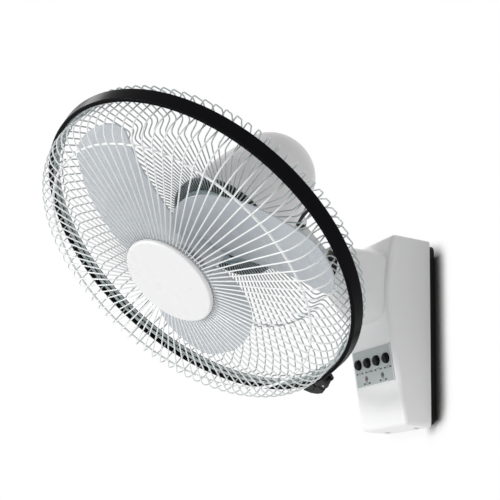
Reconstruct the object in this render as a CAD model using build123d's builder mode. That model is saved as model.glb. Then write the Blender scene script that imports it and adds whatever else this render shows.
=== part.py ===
from build123d import *
import os
from math import atan2, cos, degrees, hypot, pi, radians, sin

# Wall mounted fan with a wire guard, in millimetres.
# The wall is the plane y = 0, the fan stands out toward -Y, +X is right and +Z is up.
# The origin is the middle of the wall plate's back, half way between its four wall screws.

# ---------------------------------------------------------------- wall plate and screws
PLATE_WIDTH = 104.0
PLATE_HEIGHT = 244.0
PLATE_DEPTH = 10.0
PLATE_FLOOR = 3.0
PLATE_RIM = 4.0
PLATE_CORNER = 8.0
TONGUE_STEP = 2.0
TONGUE_DEPTH = 4.0
WALL_SCREW_DX = 64.0
WALL_SCREW_DZ = 180.0
WALL_SCREW_HOLE = 5.2
WALL_BOSS = 14.0
LUG_X = 34.0
LUG_SIZE = (14.0, 24.0, 12.0)
LUG_SCREW_IN = 4.8
HOUSING_SCREW = 3.5
HOUSING_SCREW_HEAD = 7.0
HOUSING_SCREW_SINK = 1.2

# ---------------------------------------------------------------- base housing and arm
HOUSING_WIDTH = 110.0
HOUSING_TOP = 127.0
HOUSING_BOTTOM = -127.0
TOP_FRONT = (-68.0, 127.0)
BROW = (-77.6, 62.0)
WAIST = (-77.6, 34.0)
CONSOLE_TOP = (-72.9, 2.0)
CONSOLE_FOOT = (-48.9, -127.0)
SHELL = 2.5
FRONT_ROUND = 7.0
TOP_ROUND = 5.0
FOOT_ROUND = 6.5
# arm sections: (y, half width, lowest z, highest z, corner power)
ARM_SECTIONS = [
    (-60.0, 49.0, 8.0, 107.0, 5.0),
    (-78.0, 47.5, 12.5, 107.5, 4.4),
    (-96.0, 43.5, 21.0, 109.0, 3.6),
    (-112.0, 38.0, 32.0, 110.0, 3.0),
    (-127.0, 32.0, 44.5, 110.0, 2.5),
    (-138.0, 27.5, 54.5, 109.5, 2.05),
]
ARM_WALL = 2.6
ARM_LIP = 4.0
SECTION_POINTS = 20

# ---------------------------------------------------------------- swivel in the arm
PAN_Y = -126.0
BALL_Z = 82.0
BALL_RADIUS = 24.6
BALL_FLAT = 17.0
SOCKET_RADIUS = 25.4
SOCKET_FLARE = 1.2
PAN_SHAFT = 8.0
BUSH_OUTER = 17.0
RUNNING_FIT = 0.05
SWING_MOTOR_DIAMETER = 24.0
SWING_MOTOR_BEHIND = 8.5
SWING_MOTOR_TOP = 62.0
SWING_MOTOR_HEIGHT = 12.0
SHELF = 3.0
NECK_WIDTH = 10.0
NECK_HEIGHT = 13.0
NECK_ROUND = 3.0

# ---------------------------------------------------------------- where the head stands
PAN_REST = 13.13
TILT_REST = 51.14
RING_AHEAD = 230.0
RING_Z = 54.5
PIVOT_BEHIND = 158.9
PIVOT_BELOW = 77.1

# ---------------------------------------------------------------- guards, band and cap
BAND_RADIUS = 220.0
BAND_FLARE = 3.5
BAND_FRONT = 9.4
BAND_REAR = 7.5
BAND_LIP = 0.7
BAND_GROOVE = 1.6
RIM_WIRE = 4.0
RIM_RADIUS = BAND_RADIUS - 5.5
RIM_S = 3.2
GUARD_WIRE = 1.8

FRONT_WIRES = 30
GUARD_RADIUS = RIM_RADIUS - RIM_WIRE / 2 - GUARD_WIRE / 2
FRONT_CORNER = (GUARD_RADIUS, 44.6)
FRONT_BEND = 24.0
FRONT_CENTRE = (54.0, 55.0)
SUPPORT_RING = (184.0, 3.0)
CENTRE_RING = (56.5, 3.0)
REAR_WIRES = 25
REAR_PLATE_RADIUS = 56.0
REAR_PLATE = (-50.0, 1.6)
REAR_FOOT = REAR_PLATE[0] - GUARD_WIRE / 2
REAR_PATH = [(GUARD_RADIUS, -1.2), (GUARD_RADIUS, -8.5), (GUARD_RADIUS + 9.5, -19.0),
             (GUARD_RADIUS - 9.0, -35.0), (158.5, -50.0), (150.5, -33.0), (76.0, REAR_FOOT), (52.0, REAR_FOOT)]
REAR_BEND = 5.5
REAR_SLOTS = 6
REAR_SLOT_RADIUS = 43.0
CAP_RADIUS = 61.0
CAP_FRONT = 60.4
CAP_BACK = 55.8
CAP_WALL = 2.0
CAP_SCREWS = 3
CAP_SCREW_RADIUS = 46.0
CAP_SCREW = 3.0
RETAINER = (40.0, 59.0, 2.0)
LATCH_ANGLE = -81.0
LATCH_WIDTH = 17.0
LATCH_PIN = (13.0, 8.0, 3.0)
LATCH_CHEEK = 4.0
LATCH_SLACK = 0.3
BAND_SPLIT = 2.0

# ---------------------------------------------------------------- propeller and motor
BLADES = 3
BLADE_START = 92.0 + 4.0
BLADE_THICK = 2.2
# one blade seen from the front, in polar steps: (radius, degrees)
BLADE_OUTLINE = [(50, -1), (80, -3), (125, -6), (158, -9.5), (174, -10.5), (184, -7), (190.5, -1),
                 (193, 7), (190, 16), (173, 25.5), (155, 36), (130, 51), (110, 65), (85, 82),
                 (60, 97), (40, 108)]
BLADE_BACK = -8.0
BLADE_RISE_HUB = 0.16
BLADE_RISE_TIP = 0.42
HUB_RADIUS = 31.0
HUB_FROM = -33.0
HUB_LENGTH = 55.0
SHAFT = 8.0
SHAFT_FROM = -163.0
SHAFT_TO = 32.0
PIN = 3.0
PIN_S = -30.0
SHELL_DROP = 6.5
# motor shell: (radius about its own axis, distance along the axis)
SHELL_PROFILE = [(75.0, -59.0), (72.6, -70.0), (69.6, -100.0), (65.6, -135.0), (60.4, -168.0)]
SHELL_DOME = [(58.0, -183.0), (51.5, -198.0), (39.0, -212.0), (21.0, -222.0), (0.0, -225.5)]
SHELL_WALL = 2.4
COVER = (-59.0, 4.0)
COVER_PLATFORM = 50.0
NECK_THREAD = 15.0
FRAME_RADIUS = 47.0
FRAME_WALL = 2.5
FRAME_BACK = -163.0
STATOR = (-140.0, 42.0, 23.0)
AIR_GAP = 0.5
BEARING = (11.0, 7.0)
EAR = 4.5
EAR_RADIUS = 8.0
SIDE_PLAY = 0.1
BOLT = 6.0

# ---------------------------------------------------------------- console
PANEL_Z = -45.0
PANEL_WIDTH = 94.0
PANEL_HEIGHT = 51.0
PANEL_THICK = 0.8
BUTTON_PITCH = 23.0
BUTTON_UP = 6.0
BUTTON_DIAMETER = 14.4
BUTTON_PROUD = 5.6
BUTTON_FLANGE = 17.4
BUTTON_TRAVEL = 1.5
BUTTON_PLAY = 0.3
BUTTON_STEM = 5.0
LED_DIAMETER = 4.6
LED_X = 20.0
LED_UP = -14.5
BOARD_BEHIND = 13.0
BOARD = (92.0, 56.0, 1.6)
SWITCH = (6.0, 4.3)
SWITCH_GAP = 0.2

# ---------------------------------------------------------------- inside the base
BATTERY = (70.0, 42.0, 96.0)
BATTERY_Y = -17.0
BATTERY_Z = 4.0
POWER_BOARD = (84.0, 74.0, 1.6)
POWER_BOARD_Z = -68.0
POWER_BOARD_Y = -13.0
TRANSFORMER = (36.0, 20.0, 30.0)
INLET_Z = -100.0
INLET_Y = -30.0
INLET = (12.0, 18.0, 14.0)
INLET_FLANGE = (1.2, 24.0, 18.0)

# ---------------------------------------------------------------- derived frames
PAN = radians(PAN_REST)
TILT = radians(TILT_REST)
HEADING = Vector(sin(PAN), -cos(PAN), 0)
LATERAL = Vector(cos(PAN), sin(PAN), 0)
FORWARD = HEADING * cos(TILT) - Vector(0, 0, sin(TILT))
UPWARD = HEADING * sin(TILT) + Vector(0, 0, cos(TILT))
RING_CENTRE = Vector(0, PAN_Y, RING_Z) + HEADING * RING_AHEAD
PIVOT = RING_CENTRE - FORWARD * PIVOT_BEHIND - UPWARD * PIVOT_BELOW
BALL_CENTRE = Vector(0, PAN_Y, BALL_Z)
HEAD = Plane(origin=RING_CENTRE, x_dir=LATERAL, z_dir=FORWARD)
HEAD_AXIS = Axis(RING_CENTRE, FORWARD)
# radius is this plane's x and distance along the axis is its y
SECTION = Plane(origin=RING_CENTRE, x_dir=UPWARD, z_dir=LATERAL)
SHELL_CENTRE = RING_CENTRE - UPWARD * SHELL_DROP
SHELL_AXIS = Axis(SHELL_CENTRE, FORWARD)
SHELL_SECTION = Plane(origin=SHELL_CENTRE, x_dir=UPWARD, z_dir=LATERAL)
SHELL_HEAD = Plane(origin=SHELL_CENTRE, x_dir=LATERAL, z_dir=FORWARD)
CONSOLE_LEAN = atan2(CONSOLE_FOOT[0] - CONSOLE_TOP[0], CONSOLE_TOP[1] - CONSOLE_FOOT[1])
CONSOLE_STEP = (CONSOLE_TOP[1] - PANEL_Z) / (CONSOLE_TOP[1] - CONSOLE_FOOT[1])
CONSOLE_Y = CONSOLE_TOP[0] + (CONSOLE_FOOT[0] - CONSOLE_TOP[0]) * CONSOLE_STEP
CONSOLE = Plane(
    origin=(0, CONSOLE_Y, PANEL_Z), x_dir=(1, 0, 0), z_dir=(0, -cos(CONSOLE_LEAN), -sin(CONSOLE_LEAN))
)
WALL = Plane(origin=(0, 0, 0), x_dir=(1, 0, 0), z_dir=(0, -1, 0))
TONGUE = PLATE_DEPTH + TONGUE_DEPTH
LUG_Z = -PLATE_HEIGHT / 2 + PLATE_RIM + LUG_SIZE[2] / 2
LATCH_OUT = LATERAL * cos(radians(LATCH_ANGLE)) + UPWARD * sin(radians(LATCH_ANGLE))
LATCH = Plane(
    origin=RING_CENTRE + LATCH_OUT * BAND_RADIUS, x_dir=FORWARD.cross(LATCH_OUT), z_dir=LATCH_OUT
)
BUTTON_SPOTS = [((i - 1.5) * BUTTON_PITCH, BUTTON_UP) for i in range(4)]
LED_SPOTS = [(-LED_X, LED_UP), (LED_X, LED_UP)]


def polar(radius, angle):
    """A point at a radius and an angle in degrees."""
    return (radius * cos(radians(angle)), radius * sin(radians(angle)))


def arm_outline(half_width, low, high, power):
    """Points round one arm section, square-cornered where power is high."""
    centre = (low + high) / 2
    half_height = (high - low) / 2
    points = []
    for i in range(SECTION_POINTS):
        angle = 2 * pi * (i + 0.5) / SECTION_POINTS
        c = cos(angle)
        s = sin(angle)
        x = half_width * abs(c) ** (2 / power) * (1 if c > 0 else -1)
        z = half_height * abs(s) ** (2 / power) * (1 if s > 0 else -1)
        points.append((x, centre + z))
    return points


def ring(radius, along, wire):
    """A closed round wire of one radius, at a distance along the head's axis."""
    with BuildPart() as loop:
        with BuildSketch(SECTION):
            with Locations((radius, along)):
                Circle(wire / 2)
        revolve(axis=HEAD_AXIS)
    return loop.part


# ================================================================ base
with BuildPart() as wall_plate:
    with BuildSketch(WALL):
        RectangleRounded(PLATE_WIDTH, PLATE_HEIGHT, PLATE_CORNER)
    extrude(amount=PLATE_DEPTH)
    with BuildSketch(WALL.offset(PLATE_DEPTH)):
        RectangleRounded(PLATE_WIDTH - TONGUE_STEP, PLATE_HEIGHT - TONGUE_STEP, PLATE_CORNER - 1)
    extrude(amount=TONGUE_DEPTH)
    with BuildSketch(WALL.offset(PLATE_FLOOR)):
        RectangleRounded(PLATE_WIDTH - 2 * PLATE_RIM, PLATE_HEIGHT - 2 * PLATE_RIM, PLATE_CORNER / 2)
    extrude(amount=TONGUE - PLATE_FLOOR, mode=Mode.SUBTRACT)
    with BuildSketch(WALL.offset(PLATE_FLOOR)):
        with GridLocations(WALL_SCREW_DX, WALL_SCREW_DZ, 2, 2):
            Circle(WALL_BOSS / 2)
        with GridLocations(0, 40, 1, 3):
            Rectangle(PLATE_WIDTH - 2 * PLATE_RIM, 2)
    extrude(amount=4)
    with BuildSketch(WALL.offset(PLATE_FLOOR)):
        with Locations((-LUG_X, LUG_Z), (LUG_X, LUG_Z)):
            Rectangle(LUG_SIZE[0], LUG_SIZE[2])
    extrude(amount=LUG_SIZE[1] - PLATE_FLOOR)
    with BuildSketch(WALL.offset(PLATE_FLOOR)):
        with Locations((0, BATTERY_Z - 1.5)):
            Rectangle(BATTERY[0] + 6, 3)
        with Locations((-BATTERY[0] / 2 - 2, BATTERY_Z + 20), (BATTERY[0] / 2 + 2, BATTERY_Z + 20)):
            Rectangle(2, 40)
    extrude(amount=-BATTERY_Y + BATTERY[1] - PLATE_FLOOR - 3)
    with BuildSketch(WALL.offset(PLATE_FLOOR)):
        with Locations((0, POWER_BOARD_Z)):
            with GridLocations(POWER_BOARD[0] - 10, POWER_BOARD[1] - 10, 2, 2):
                Circle(4)
    extrude(amount=-POWER_BOARD_Y - PLATE_FLOOR)
    with BuildSketch(WALL):
        with GridLocations(WALL_SCREW_DX, WALL_SCREW_DZ, 2, 2):
            Circle(WALL_SCREW_HOLE / 2)
    extrude(amount=TONGUE, mode=Mode.SUBTRACT)
    with BuildSketch(Plane.XY.offset(-PLATE_HEIGHT / 2)):
        with Locations((-LUG_X, -LUG_SIZE[1] + LUG_SCREW_IN), (LUG_X, -LUG_SIZE[1] + LUG_SCREW_IN)):
            Circle(HOUSING_SCREW / 2)
    extrude(amount=PLATE_RIM + LUG_SIZE[2] - 2, mode=Mode.SUBTRACT)
    chamfer(wall_plate.faces().sort_by(Axis.Y)[-1].outer_wire().edges(), 1)

with BuildPart() as arm_solid:
    for y, half_width, low, high, power in ARM_SECTIONS:
        with BuildSketch(Plane(origin=(0, y, 0), x_dir=(1, 0, 0), z_dir=(0, -1, 0))):
            with BuildLine():
                Spline(*arm_outline(half_width, low, high, power), periodic=True)
            make_face()
    loft()

with BuildPart() as arm_hollow:
    for y, half_width, low, high, power in ARM_SECTIONS:
        depth = max(y, ARM_SECTIONS[-1][0] + ARM_LIP)
        with BuildSketch(Plane(origin=(0, depth, 0), x_dir=(1, 0, 0), z_dir=(0, -1, 0))):
            with BuildLine():
                Spline(
                    *arm_outline(half_width - ARM_WALL, low + ARM_WALL, high - ARM_WALL, power),
                    periodic=True,
                )
            make_face()
    loft()

with BuildPart() as housing_solid:
    with BuildSketch(Plane.YZ.offset(-HOUSING_WIDTH / 2)):
        with BuildLine():
            Polyline((-PLATE_DEPTH, HOUSING_BOTTOM), (-PLATE_DEPTH, HOUSING_TOP), TOP_FRONT)
            Spline(TOP_FRONT, BROW, WAIST, CONSOLE_TOP,
                   tangents=[(-0.24, -1), (CONSOLE_FOOT[0] - CONSOLE_TOP[0],
                                           CONSOLE_FOOT[1] - CONSOLE_TOP[1])],
                   tangent_scalars=[0.7, 0.5])
            Polyline(CONSOLE_TOP, CONSOLE_FOOT, (-PLATE_DEPTH, HOUSING_BOTTOM))
        make_face()
    extrude(amount=HOUSING_WIDTH)

INNER_LEAN = SHELL / cos(CONSOLE_LEAN)
INNER_TOP = (TOP_FRONT[0] + SHELL - 0.6, HOUSING_TOP - SHELL)
INNER_CONSOLE = (CONSOLE_TOP[0] + INNER_LEAN, CONSOLE_TOP[1])
INNER_FOOT = (CONSOLE_FOOT[0] + INNER_LEAN - SHELL * sin(CONSOLE_LEAN), HOUSING_BOTTOM + SHELL)
with BuildPart() as housing_hollow:
    with BuildSketch(Plane.YZ.offset(-HOUSING_WIDTH / 2 + SHELL)):
        with BuildLine():
            Polyline(INNER_FOOT, (-PLATE_DEPTH + 2, INNER_FOOT[1]), (-PLATE_DEPTH + 2, INNER_TOP[1]),
                     INNER_TOP)
            Spline(INNER_TOP, (BROW[0] + SHELL, BROW[1]), (WAIST[0] + SHELL, WAIST[1]), INNER_CONSOLE,
                   tangents=[(-0.24, -1), (CONSOLE_FOOT[0] - CONSOLE_TOP[0],
                                           CONSOLE_FOOT[1] - CONSOLE_TOP[1])],
                   tangent_scalars=[0.7, 0.5])
            Line(INNER_CONSOLE, INNER_FOOT)
        make_face()
    extrude(amount=HOUSING_WIDTH - 2 * SHELL)
    corners = housing_hollow.edges().filter_by(lambda e: abs(abs(e.center().X) - HOUSING_WIDTH / 2 + SHELL) < 0.1)
    fillet(corners.filter_by(lambda e: e.center().Y < -40 and abs(e.center().Z) < 118), FRONT_ROUND - SHELL)

with BuildPart() as base_housing:
    add(housing_solid.part)
    sides = base_housing.edges().filter_by(lambda e: abs(abs(e.center().X) - HOUSING_WIDTH / 2) < 0.1)
    fillet(sides.filter_by(lambda e: e.center().Y < -40 and abs(e.center().Z) < 118), FRONT_ROUND)
    fillet(base_housing.edges().filter_by(
        lambda e: e.center().Z > HOUSING_TOP - 1 and e.center().Y < -PLATE_DEPTH - 1), TOP_ROUND)
    fillet(base_housing.edges().filter_by(
        lambda e: e.center().Z < HOUSING_BOTTOM + 1 and e.center().Y < -PLATE_DEPTH - 1), FOOT_ROUND)
    add(housing_hollow.part, mode=Mode.SUBTRACT)
    add(arm_solid.part)
    add(arm_hollow.part, mode=Mode.SUBTRACT)
    # socket that the swivel turns in, flared at its mouth
    with BuildSketch(WALL.offset(-PAN_Y)):
        with Locations((0, BALL_Z)):
            Circle(SOCKET_RADIUS)
    extrude(amount=-ARM_SECTIONS[-1][0] + PAN_Y + 1, mode=Mode.SUBTRACT)
    mouth = base_housing.faces().sort_by(Axis.Y)[0]
    chamfer(mouth.inner_wires()[0].edges(), SOCKET_FLARE, SOCKET_FLARE * 0.9)
    # shelf under the swing motor
    with BuildSketch(Plane.XY.offset(SWING_MOTOR_TOP - SWING_MOTOR_HEIGHT - SHELF)):
        with Locations((0, PAN_Y + SWING_MOTOR_BEHIND)):
            Rectangle(2 * SOCKET_RADIUS + 30, SWING_MOTOR_DIAMETER + 2)
    shelf = extrude(amount=SHELF, mode=Mode.PRIVATE)
    add(shelf & arm_solid.part)
    # posts behind the console for the control board
    with BuildSketch(CONSOLE.offset(-SHELL + 0.5)):
        with GridLocations(BOARD[0] - 8, BOARD[1] - 8, 2, 2):
            Circle(3.5)
    extrude(amount=-BOARD_BEHIND + SHELL - 0.5)
    with BuildSketch(CONSOLE.offset(-BOARD_BEHIND)):
        with GridLocations(BOARD[0] - 8, BOARD[1] - 8, 2, 2):
            Circle(1.25)
    extrude(amount=BOARD_BEHIND - SHELL, mode=Mode.SUBTRACT)
    # holes for the buttons and lamps
    with BuildSketch(CONSOLE.offset(2)):
        with Locations(*BUTTON_SPOTS):
            Circle(BUTTON_DIAMETER / 2 + BUTTON_PLAY)
        with Locations(*LED_SPOTS):
            Circle(LED_DIAMETER / 2 + RUNNING_FIT)
    extrude(amount=-SHELL - 4, mode=Mode.SUBTRACT)
    # screw towers in the foot, up to the wall plate's lugs
    with BuildSketch(Plane.XY.offset(HOUSING_BOTTOM + SHELL / 2)):
        with Locations((-LUG_X, -LUG_SIZE[1] + LUG_SCREW_IN), (LUG_X, -LUG_SIZE[1] + LUG_SCREW_IN)):
            Circle(HOUSING_SCREW_HEAD / 2 + 1.5)
    extrude(amount=LUG_Z - LUG_SIZE[2] / 2 - HOUSING_BOTTOM - SHELL / 2)
    with BuildSketch(Plane.XY.offset(HOUSING_BOTTOM)):
        with Locations((-LUG_X, -LUG_SIZE[1] + LUG_SCREW_IN), (LUG_X, -LUG_SIZE[1] + LUG_SCREW_IN)):
            Circle(HOUSING_SCREW_HEAD / 2 + 0.3)
    extrude(amount=HOUSING_SCREW_SINK, mode=Mode.SUBTRACT)
    with BuildSketch(Plane.XY.offset(HOUSING_BOTTOM)):
        with Locations((-LUG_X, -LUG_SIZE[1] + LUG_SCREW_IN), (LUG_X, -LUG_SIZE[1] + LUG_SCREW_IN)):
            Circle(HOUSING_SCREW / 2 + 0.15)
    extrude(amount=12, mode=Mode.SUBTRACT)
    # cut-out for the power inlet in the left side
    with BuildSketch(Plane.YZ.offset(-HOUSING_WIDTH / 2)):
        with Locations((INLET_Y, INLET_Z)):
            Rectangle(INLET[1], INLET[2])
    extrude(amount=SHELL + 1, mode=Mode.SUBTRACT)

with BuildPart() as housing_screws:
    with BuildSketch(Plane.XY.offset(HOUSING_BOTTOM + HOUSING_SCREW_SINK)):
        with Locations((-LUG_X, -LUG_SIZE[1] + LUG_SCREW_IN), (LUG_X, -LUG_SIZE[1] + LUG_SCREW_IN)):
            Circle(HOUSING_SCREW_HEAD / 2)
            Rectangle(HOUSING_SCREW_HEAD * 0.7, 1, mode=Mode.SUBTRACT)
            Rectangle(1, HOUSING_SCREW_HEAD * 0.7, mode=Mode.SUBTRACT)
    extrude(amount=-1.6)
    with BuildSketch(Plane.XY.offset(HOUSING_BOTTOM + HOUSING_SCREW_SINK)):
        with Locations((-LUG_X, -LUG_SIZE[1] + LUG_SCREW_IN), (LUG_X, -LUG_SIZE[1] + LUG_SCREW_IN)):
            Circle(HOUSING_SCREW / 2 - RUNNING_FIT)
    extrude(amount=LUG_Z - HOUSING_BOTTOM)

with BuildPart() as panel_label:
    with BuildSketch(CONSOLE):
        RectangleRounded(PANEL_WIDTH, PANEL_HEIGHT, 2)
        with Locations(*BUTTON_SPOTS):
            Circle(BUTTON_DIAMETER / 2 + BUTTON_PLAY, mode=Mode.SUBTRACT)
        with Locations(*LED_SPOTS):
            Circle(LED_DIAMETER / 2 + RUNNING_FIT, mode=Mode.SUBTRACT)
    extrude(amount=PANEL_THICK)


def lamp(spot):
    """A small domed indicator lamp standing through the console."""
    with BuildPart() as body:
        with BuildSketch(CONSOLE.offset(-SHELL - 1.5)):
            with Locations(spot):
                Circle(LED_DIAMETER / 2 + 0.6)
        extrude(amount=1.5)
        with BuildSketch(CONSOLE.offset(-BOARD_BEHIND)):
            with Locations(spot):
                Circle(LED_DIAMETER / 2 - 0.6)
        extrude(amount=BOARD_BEHIND - SHELL - 1.5)
        with BuildSketch(CONSOLE.offset(-SHELL)):
            with Locations(spot):
                Circle(LED_DIAMETER / 2)
        extrude(amount=SHELL + PANEL_THICK + 1.2)
        fillet(body.faces().sort_by(Axis(CONSOLE.origin, CONSOLE.z_dir))[-1].edges(), 1.1)
    return body


def push_button(spot):
    """A domed button with its flange behind the wall and its stem toward its switch."""
    with BuildPart() as body:
        with BuildSketch(CONSOLE.offset(-SHELL - RUNNING_FIT)):
            with Locations(spot):
                Circle(BUTTON_FLANGE / 2)
        extrude(amount=-1.2)
        with BuildSketch(CONSOLE.offset(-SHELL - 1)):
            with Locations(spot):
                Circle(BUTTON_STEM / 2)
        extrude(amount=-BOARD_BEHIND + SWITCH[1] + SWITCH_GAP + BUTTON_TRAVEL + SHELL + 1)
        with BuildSketch(CONSOLE.offset(-SHELL - RUNNING_FIT)):
            with Locations(spot):
                Circle(BUTTON_DIAMETER / 2)
        extrude(amount=SHELL + RUNNING_FIT + BUTTON_PROUD)
        fillet(body.faces().sort_by(Axis(CONSOLE.origin, CONSOLE.z_dir))[-1].edges(), 3.6)
    return body


led_red = lamp(LED_SPOTS[0])
led_green = lamp(LED_SPOTS[1])
button_1 = push_button(BUTTON_SPOTS[0])
button_2 = push_button(BUTTON_SPOTS[1])
button_3 = push_button(BUTTON_SPOTS[2])
button_4 = push_button(BUTTON_SPOTS[3])

with BuildPart() as control_board:
    with BuildSketch(CONSOLE.offset(-BOARD_BEHIND)):
        Rectangle(BOARD[0], BOARD[1])
        with GridLocations(BOARD[0] - 8, BOARD[1] - 8, 2, 2):
            Circle(1.5, mode=Mode.SUBTRACT)
    extrude(amount=-BOARD[2])

with BuildPart() as board_screws:
    with BuildSketch(CONSOLE.offset(-BOARD_BEHIND - BOARD[2])):
        with GridLocations(BOARD[0] - 8, BOARD[1] - 8, 2, 2):
            Circle(2.4)
    extrude(amount=-1.5)
    with BuildSketch(CONSOLE.offset(-BOARD_BEHIND - BOARD[2])):
        with GridLocations(BOARD[0] - 8, BOARD[1] - 8, 2, 2):
            Circle(1.2)
    extrude(amount=7)

with BuildPart() as button_switches:
    with BuildSketch(CONSOLE.offset(-BOARD_BEHIND)):
        with Locations(*BUTTON_SPOTS):
            Rectangle(SWITCH[0], SWITCH[0])
    extrude(amount=SWITCH[1] - 0.9)
    with BuildSketch(CONSOLE.offset(-BOARD_BEHIND)):
        with Locations(*BUTTON_SPOTS):
            Circle(1.75)
    extrude(amount=SWITCH[1])

with BuildPart() as battery:
    with BuildSketch(WALL.offset(-BATTERY_Y)):
        with Locations((0, BATTERY_Z + BATTERY[2] / 2)):
            Rectangle(BATTERY[0], BATTERY[2])
    extrude(amount=BATTERY[1])
    fillet(battery.edges().filter_by(Axis.Z), 2)
    with BuildSketch(Plane.XY.offset(BATTERY_Z + BATTERY[2])):
        with Locations((-24, BATTERY_Y - 10), (24, BATTERY_Y - 10)):
            Rectangle(0.8, 6)
    extrude(amount=5)

with BuildPart() as power_board:
    with BuildSketch(WALL.offset(-POWER_BOARD_Y)):
        with Locations((0, POWER_BOARD_Z)):
            Rectangle(POWER_BOARD[0], POWER_BOARD[1])
    extrude(amount=POWER_BOARD[2])
    with BuildSketch(WALL.offset(-POWER_BOARD_Y + POWER_BOARD[2])):
        with Locations((-28, POWER_BOARD_Z + 18), (-28, POWER_BOARD_Z - 4)):
            Circle(7)
        with Locations((26, POWER_BOARD_Z - 24)):
            Rectangle(20, 10)
    extrude(amount=14)

with BuildPart() as transformer:
    with BuildSketch(WALL.offset(-POWER_BOARD_Y + POWER_BOARD[2])):
        with Locations((14, POWER_BOARD_Z + 8)):
            Rectangle(TRANSFORMER[0], TRANSFORMER[2])
    extrude(amount=TRANSFORMER[1])

with BuildPart() as power_inlet:
    with BuildSketch(Plane.YZ.offset(-HOUSING_WIDTH / 2)):
        with Locations((INLET_Y, INLET_Z)):
            RectangleRounded(INLET_FLANGE[1], INLET_FLANGE[2], 2)
    extrude(amount=-INLET_FLANGE[0])
    with BuildSketch(Plane.YZ.offset(-HOUSING_WIDTH / 2)):
        with Locations((INLET_Y, INLET_Z)):
            Rectangle(INLET[1] - 0.1, INLET[2] - 0.1)
    extrude(amount=INLET[0])
    with BuildSketch(Plane.YZ.offset(-HOUSING_WIDTH / 2 - INLET_FLANGE[0])):
        with Locations((INLET_Y, INLET_Z)):
            SlotOverall(14, 8)
    extrude(amount=INLET[0] - 1, mode=Mode.SUBTRACT)
    with BuildSketch(Plane.YZ.offset(-HOUSING_WIDTH / 2 + INLET[0] - 2)):
        with Locations((INLET_Y - 3.5, INLET_Z), (INLET_Y + 3.5, INLET_Z)):
            Circle(1.1)
    extrude(amount=-INLET[0] + 6)

# ================================================================ swing drive and neck
with BuildPart() as pan_bush:
    with BuildSketch(Plane.XY.offset(BALL_Z + BALL_FLAT + 1)):
        with Locations((0, PAN_Y)):
            Circle(BUSH_OUTER / 2)
    extrude(amount=14)
    add(arm_hollow.part, mode=Mode.INTERSECT)
    with BuildSketch(Plane.XY.offset(BALL_Z)):
        with Locations((0, PAN_Y)):
            Circle(PAN_SHAFT / 2 + RUNNING_FIT)
    extrude(amount=BALL_FLAT + 6, mode=Mode.SUBTRACT)

with BuildPart() as swing_motor:
    with BuildSketch(Plane.XY.offset(SWING_MOTOR_TOP)):
        with Locations((0, PAN_Y + SWING_MOTOR_BEHIND)):
            Circle(SWING_MOTOR_DIAMETER / 2)
    extrude(amount=-SWING_MOTOR_HEIGHT)
    with BuildSketch(Plane.XY.offset(SWING_MOTOR_TOP)):
        with Locations((0, PAN_Y)):
            Circle(PAN_SHAFT / 2 + RUNNING_FIT)
    extrude(amount=-SWING_MOTOR_HEIGHT + 4, mode=Mode.SUBTRACT)

NECK = Plane(origin=BALL_CENTRE, x_dir=HEADING, z_dir=-LATERAL)
REACH = (PIVOT - BALL_CENTRE).dot(HEADING)
RISE = (PIVOT - BALL_CENTRE).Z

with BuildPart() as pan_shaft:
    with BuildSketch(Plane.XY.offset(SWING_MOTOR_TOP - 6)):
        with Locations((0, PAN_Y)):
            Circle(PAN_SHAFT / 2)
    extrude(amount=BALL_Z + BALL_FLAT + 5 - SWING_MOTOR_TOP + 6)

with BuildPart() as neck_stem:
    with BuildSketch(NECK.offset(-NECK_WIDTH / 2)):
        with Locations((REACH / 2, RISE / 2)):
            SlotCenterToCenter(hypot(REACH, RISE), NECK_HEIGHT, rotation=degrees(atan2(RISE, REACH)))
    extrude(amount=NECK_WIDTH)
    flanks = neck_stem.faces().sort_by(Axis(BALL_CENTRE, LATERAL))
    fillet(flanks[0].edges() + flanks[-1].edges(), NECK_ROUND)
    with BuildSketch(NECK.offset(-NECK_WIDTH)):
        with Locations((REACH, RISE)):
            Circle(BOLT / 2)
    extrude(amount=2 * NECK_WIDTH, mode=Mode.SUBTRACT)
    add(pan_shaft.part, mode=Mode.SUBTRACT)

with BuildPart() as swivel_ball:
    with Locations(BALL_CENTRE):
        Sphere(BALL_RADIUS)
        Box(3 * BALL_RADIUS, 3 * BALL_RADIUS, 2 * BALL_FLAT, mode=Mode.INTERSECT)
    add(pan_shaft.part, mode=Mode.SUBTRACT)
    add(neck_stem.part, mode=Mode.SUBTRACT)

EARS = Plane(origin=PIVOT, x_dir=FORWARD, z_dir=-LATERAL)
EAR_IN = NECK_WIDTH / 2 + SIDE_PLAY
EAR_OUT = EAR_IN + EAR

with BuildPart() as tilt_bolt:
    with BuildSketch(EARS.offset(-EAR_OUT - SIDE_PLAY)):
        Circle(BOLT / 2)
    extrude(amount=2 * EAR_OUT + 2 * SIDE_PLAY + 7)
    with BuildSketch(EARS.offset(-EAR_OUT - SIDE_PLAY)):
        RegularPolygon(BOLT * 0.92, 6)
    extrude(amount=-4)

with BuildPart() as tilt_nut:
    with BuildSketch(EARS.offset(EAR_OUT + SIDE_PLAY)):
        RegularPolygon(BOLT * 0.92, 6)
        Circle(BOLT / 2, mode=Mode.SUBTRACT)
    extrude(amount=5)

# ================================================================ motor and its shell
with BuildPart() as shell_form:
    with BuildSketch(SHELL_SECTION):
        with BuildLine():
            Spline(*SHELL_PROFILE, *SHELL_DOME, tangents=[(-0.2, -1), (-1, 0)])
            Polyline(SHELL_DOME[-1], (0, SHELL_PROFILE[0][1]), SHELL_PROFILE[0])
        make_face()
    revolve(axis=SHELL_AXIS)

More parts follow.
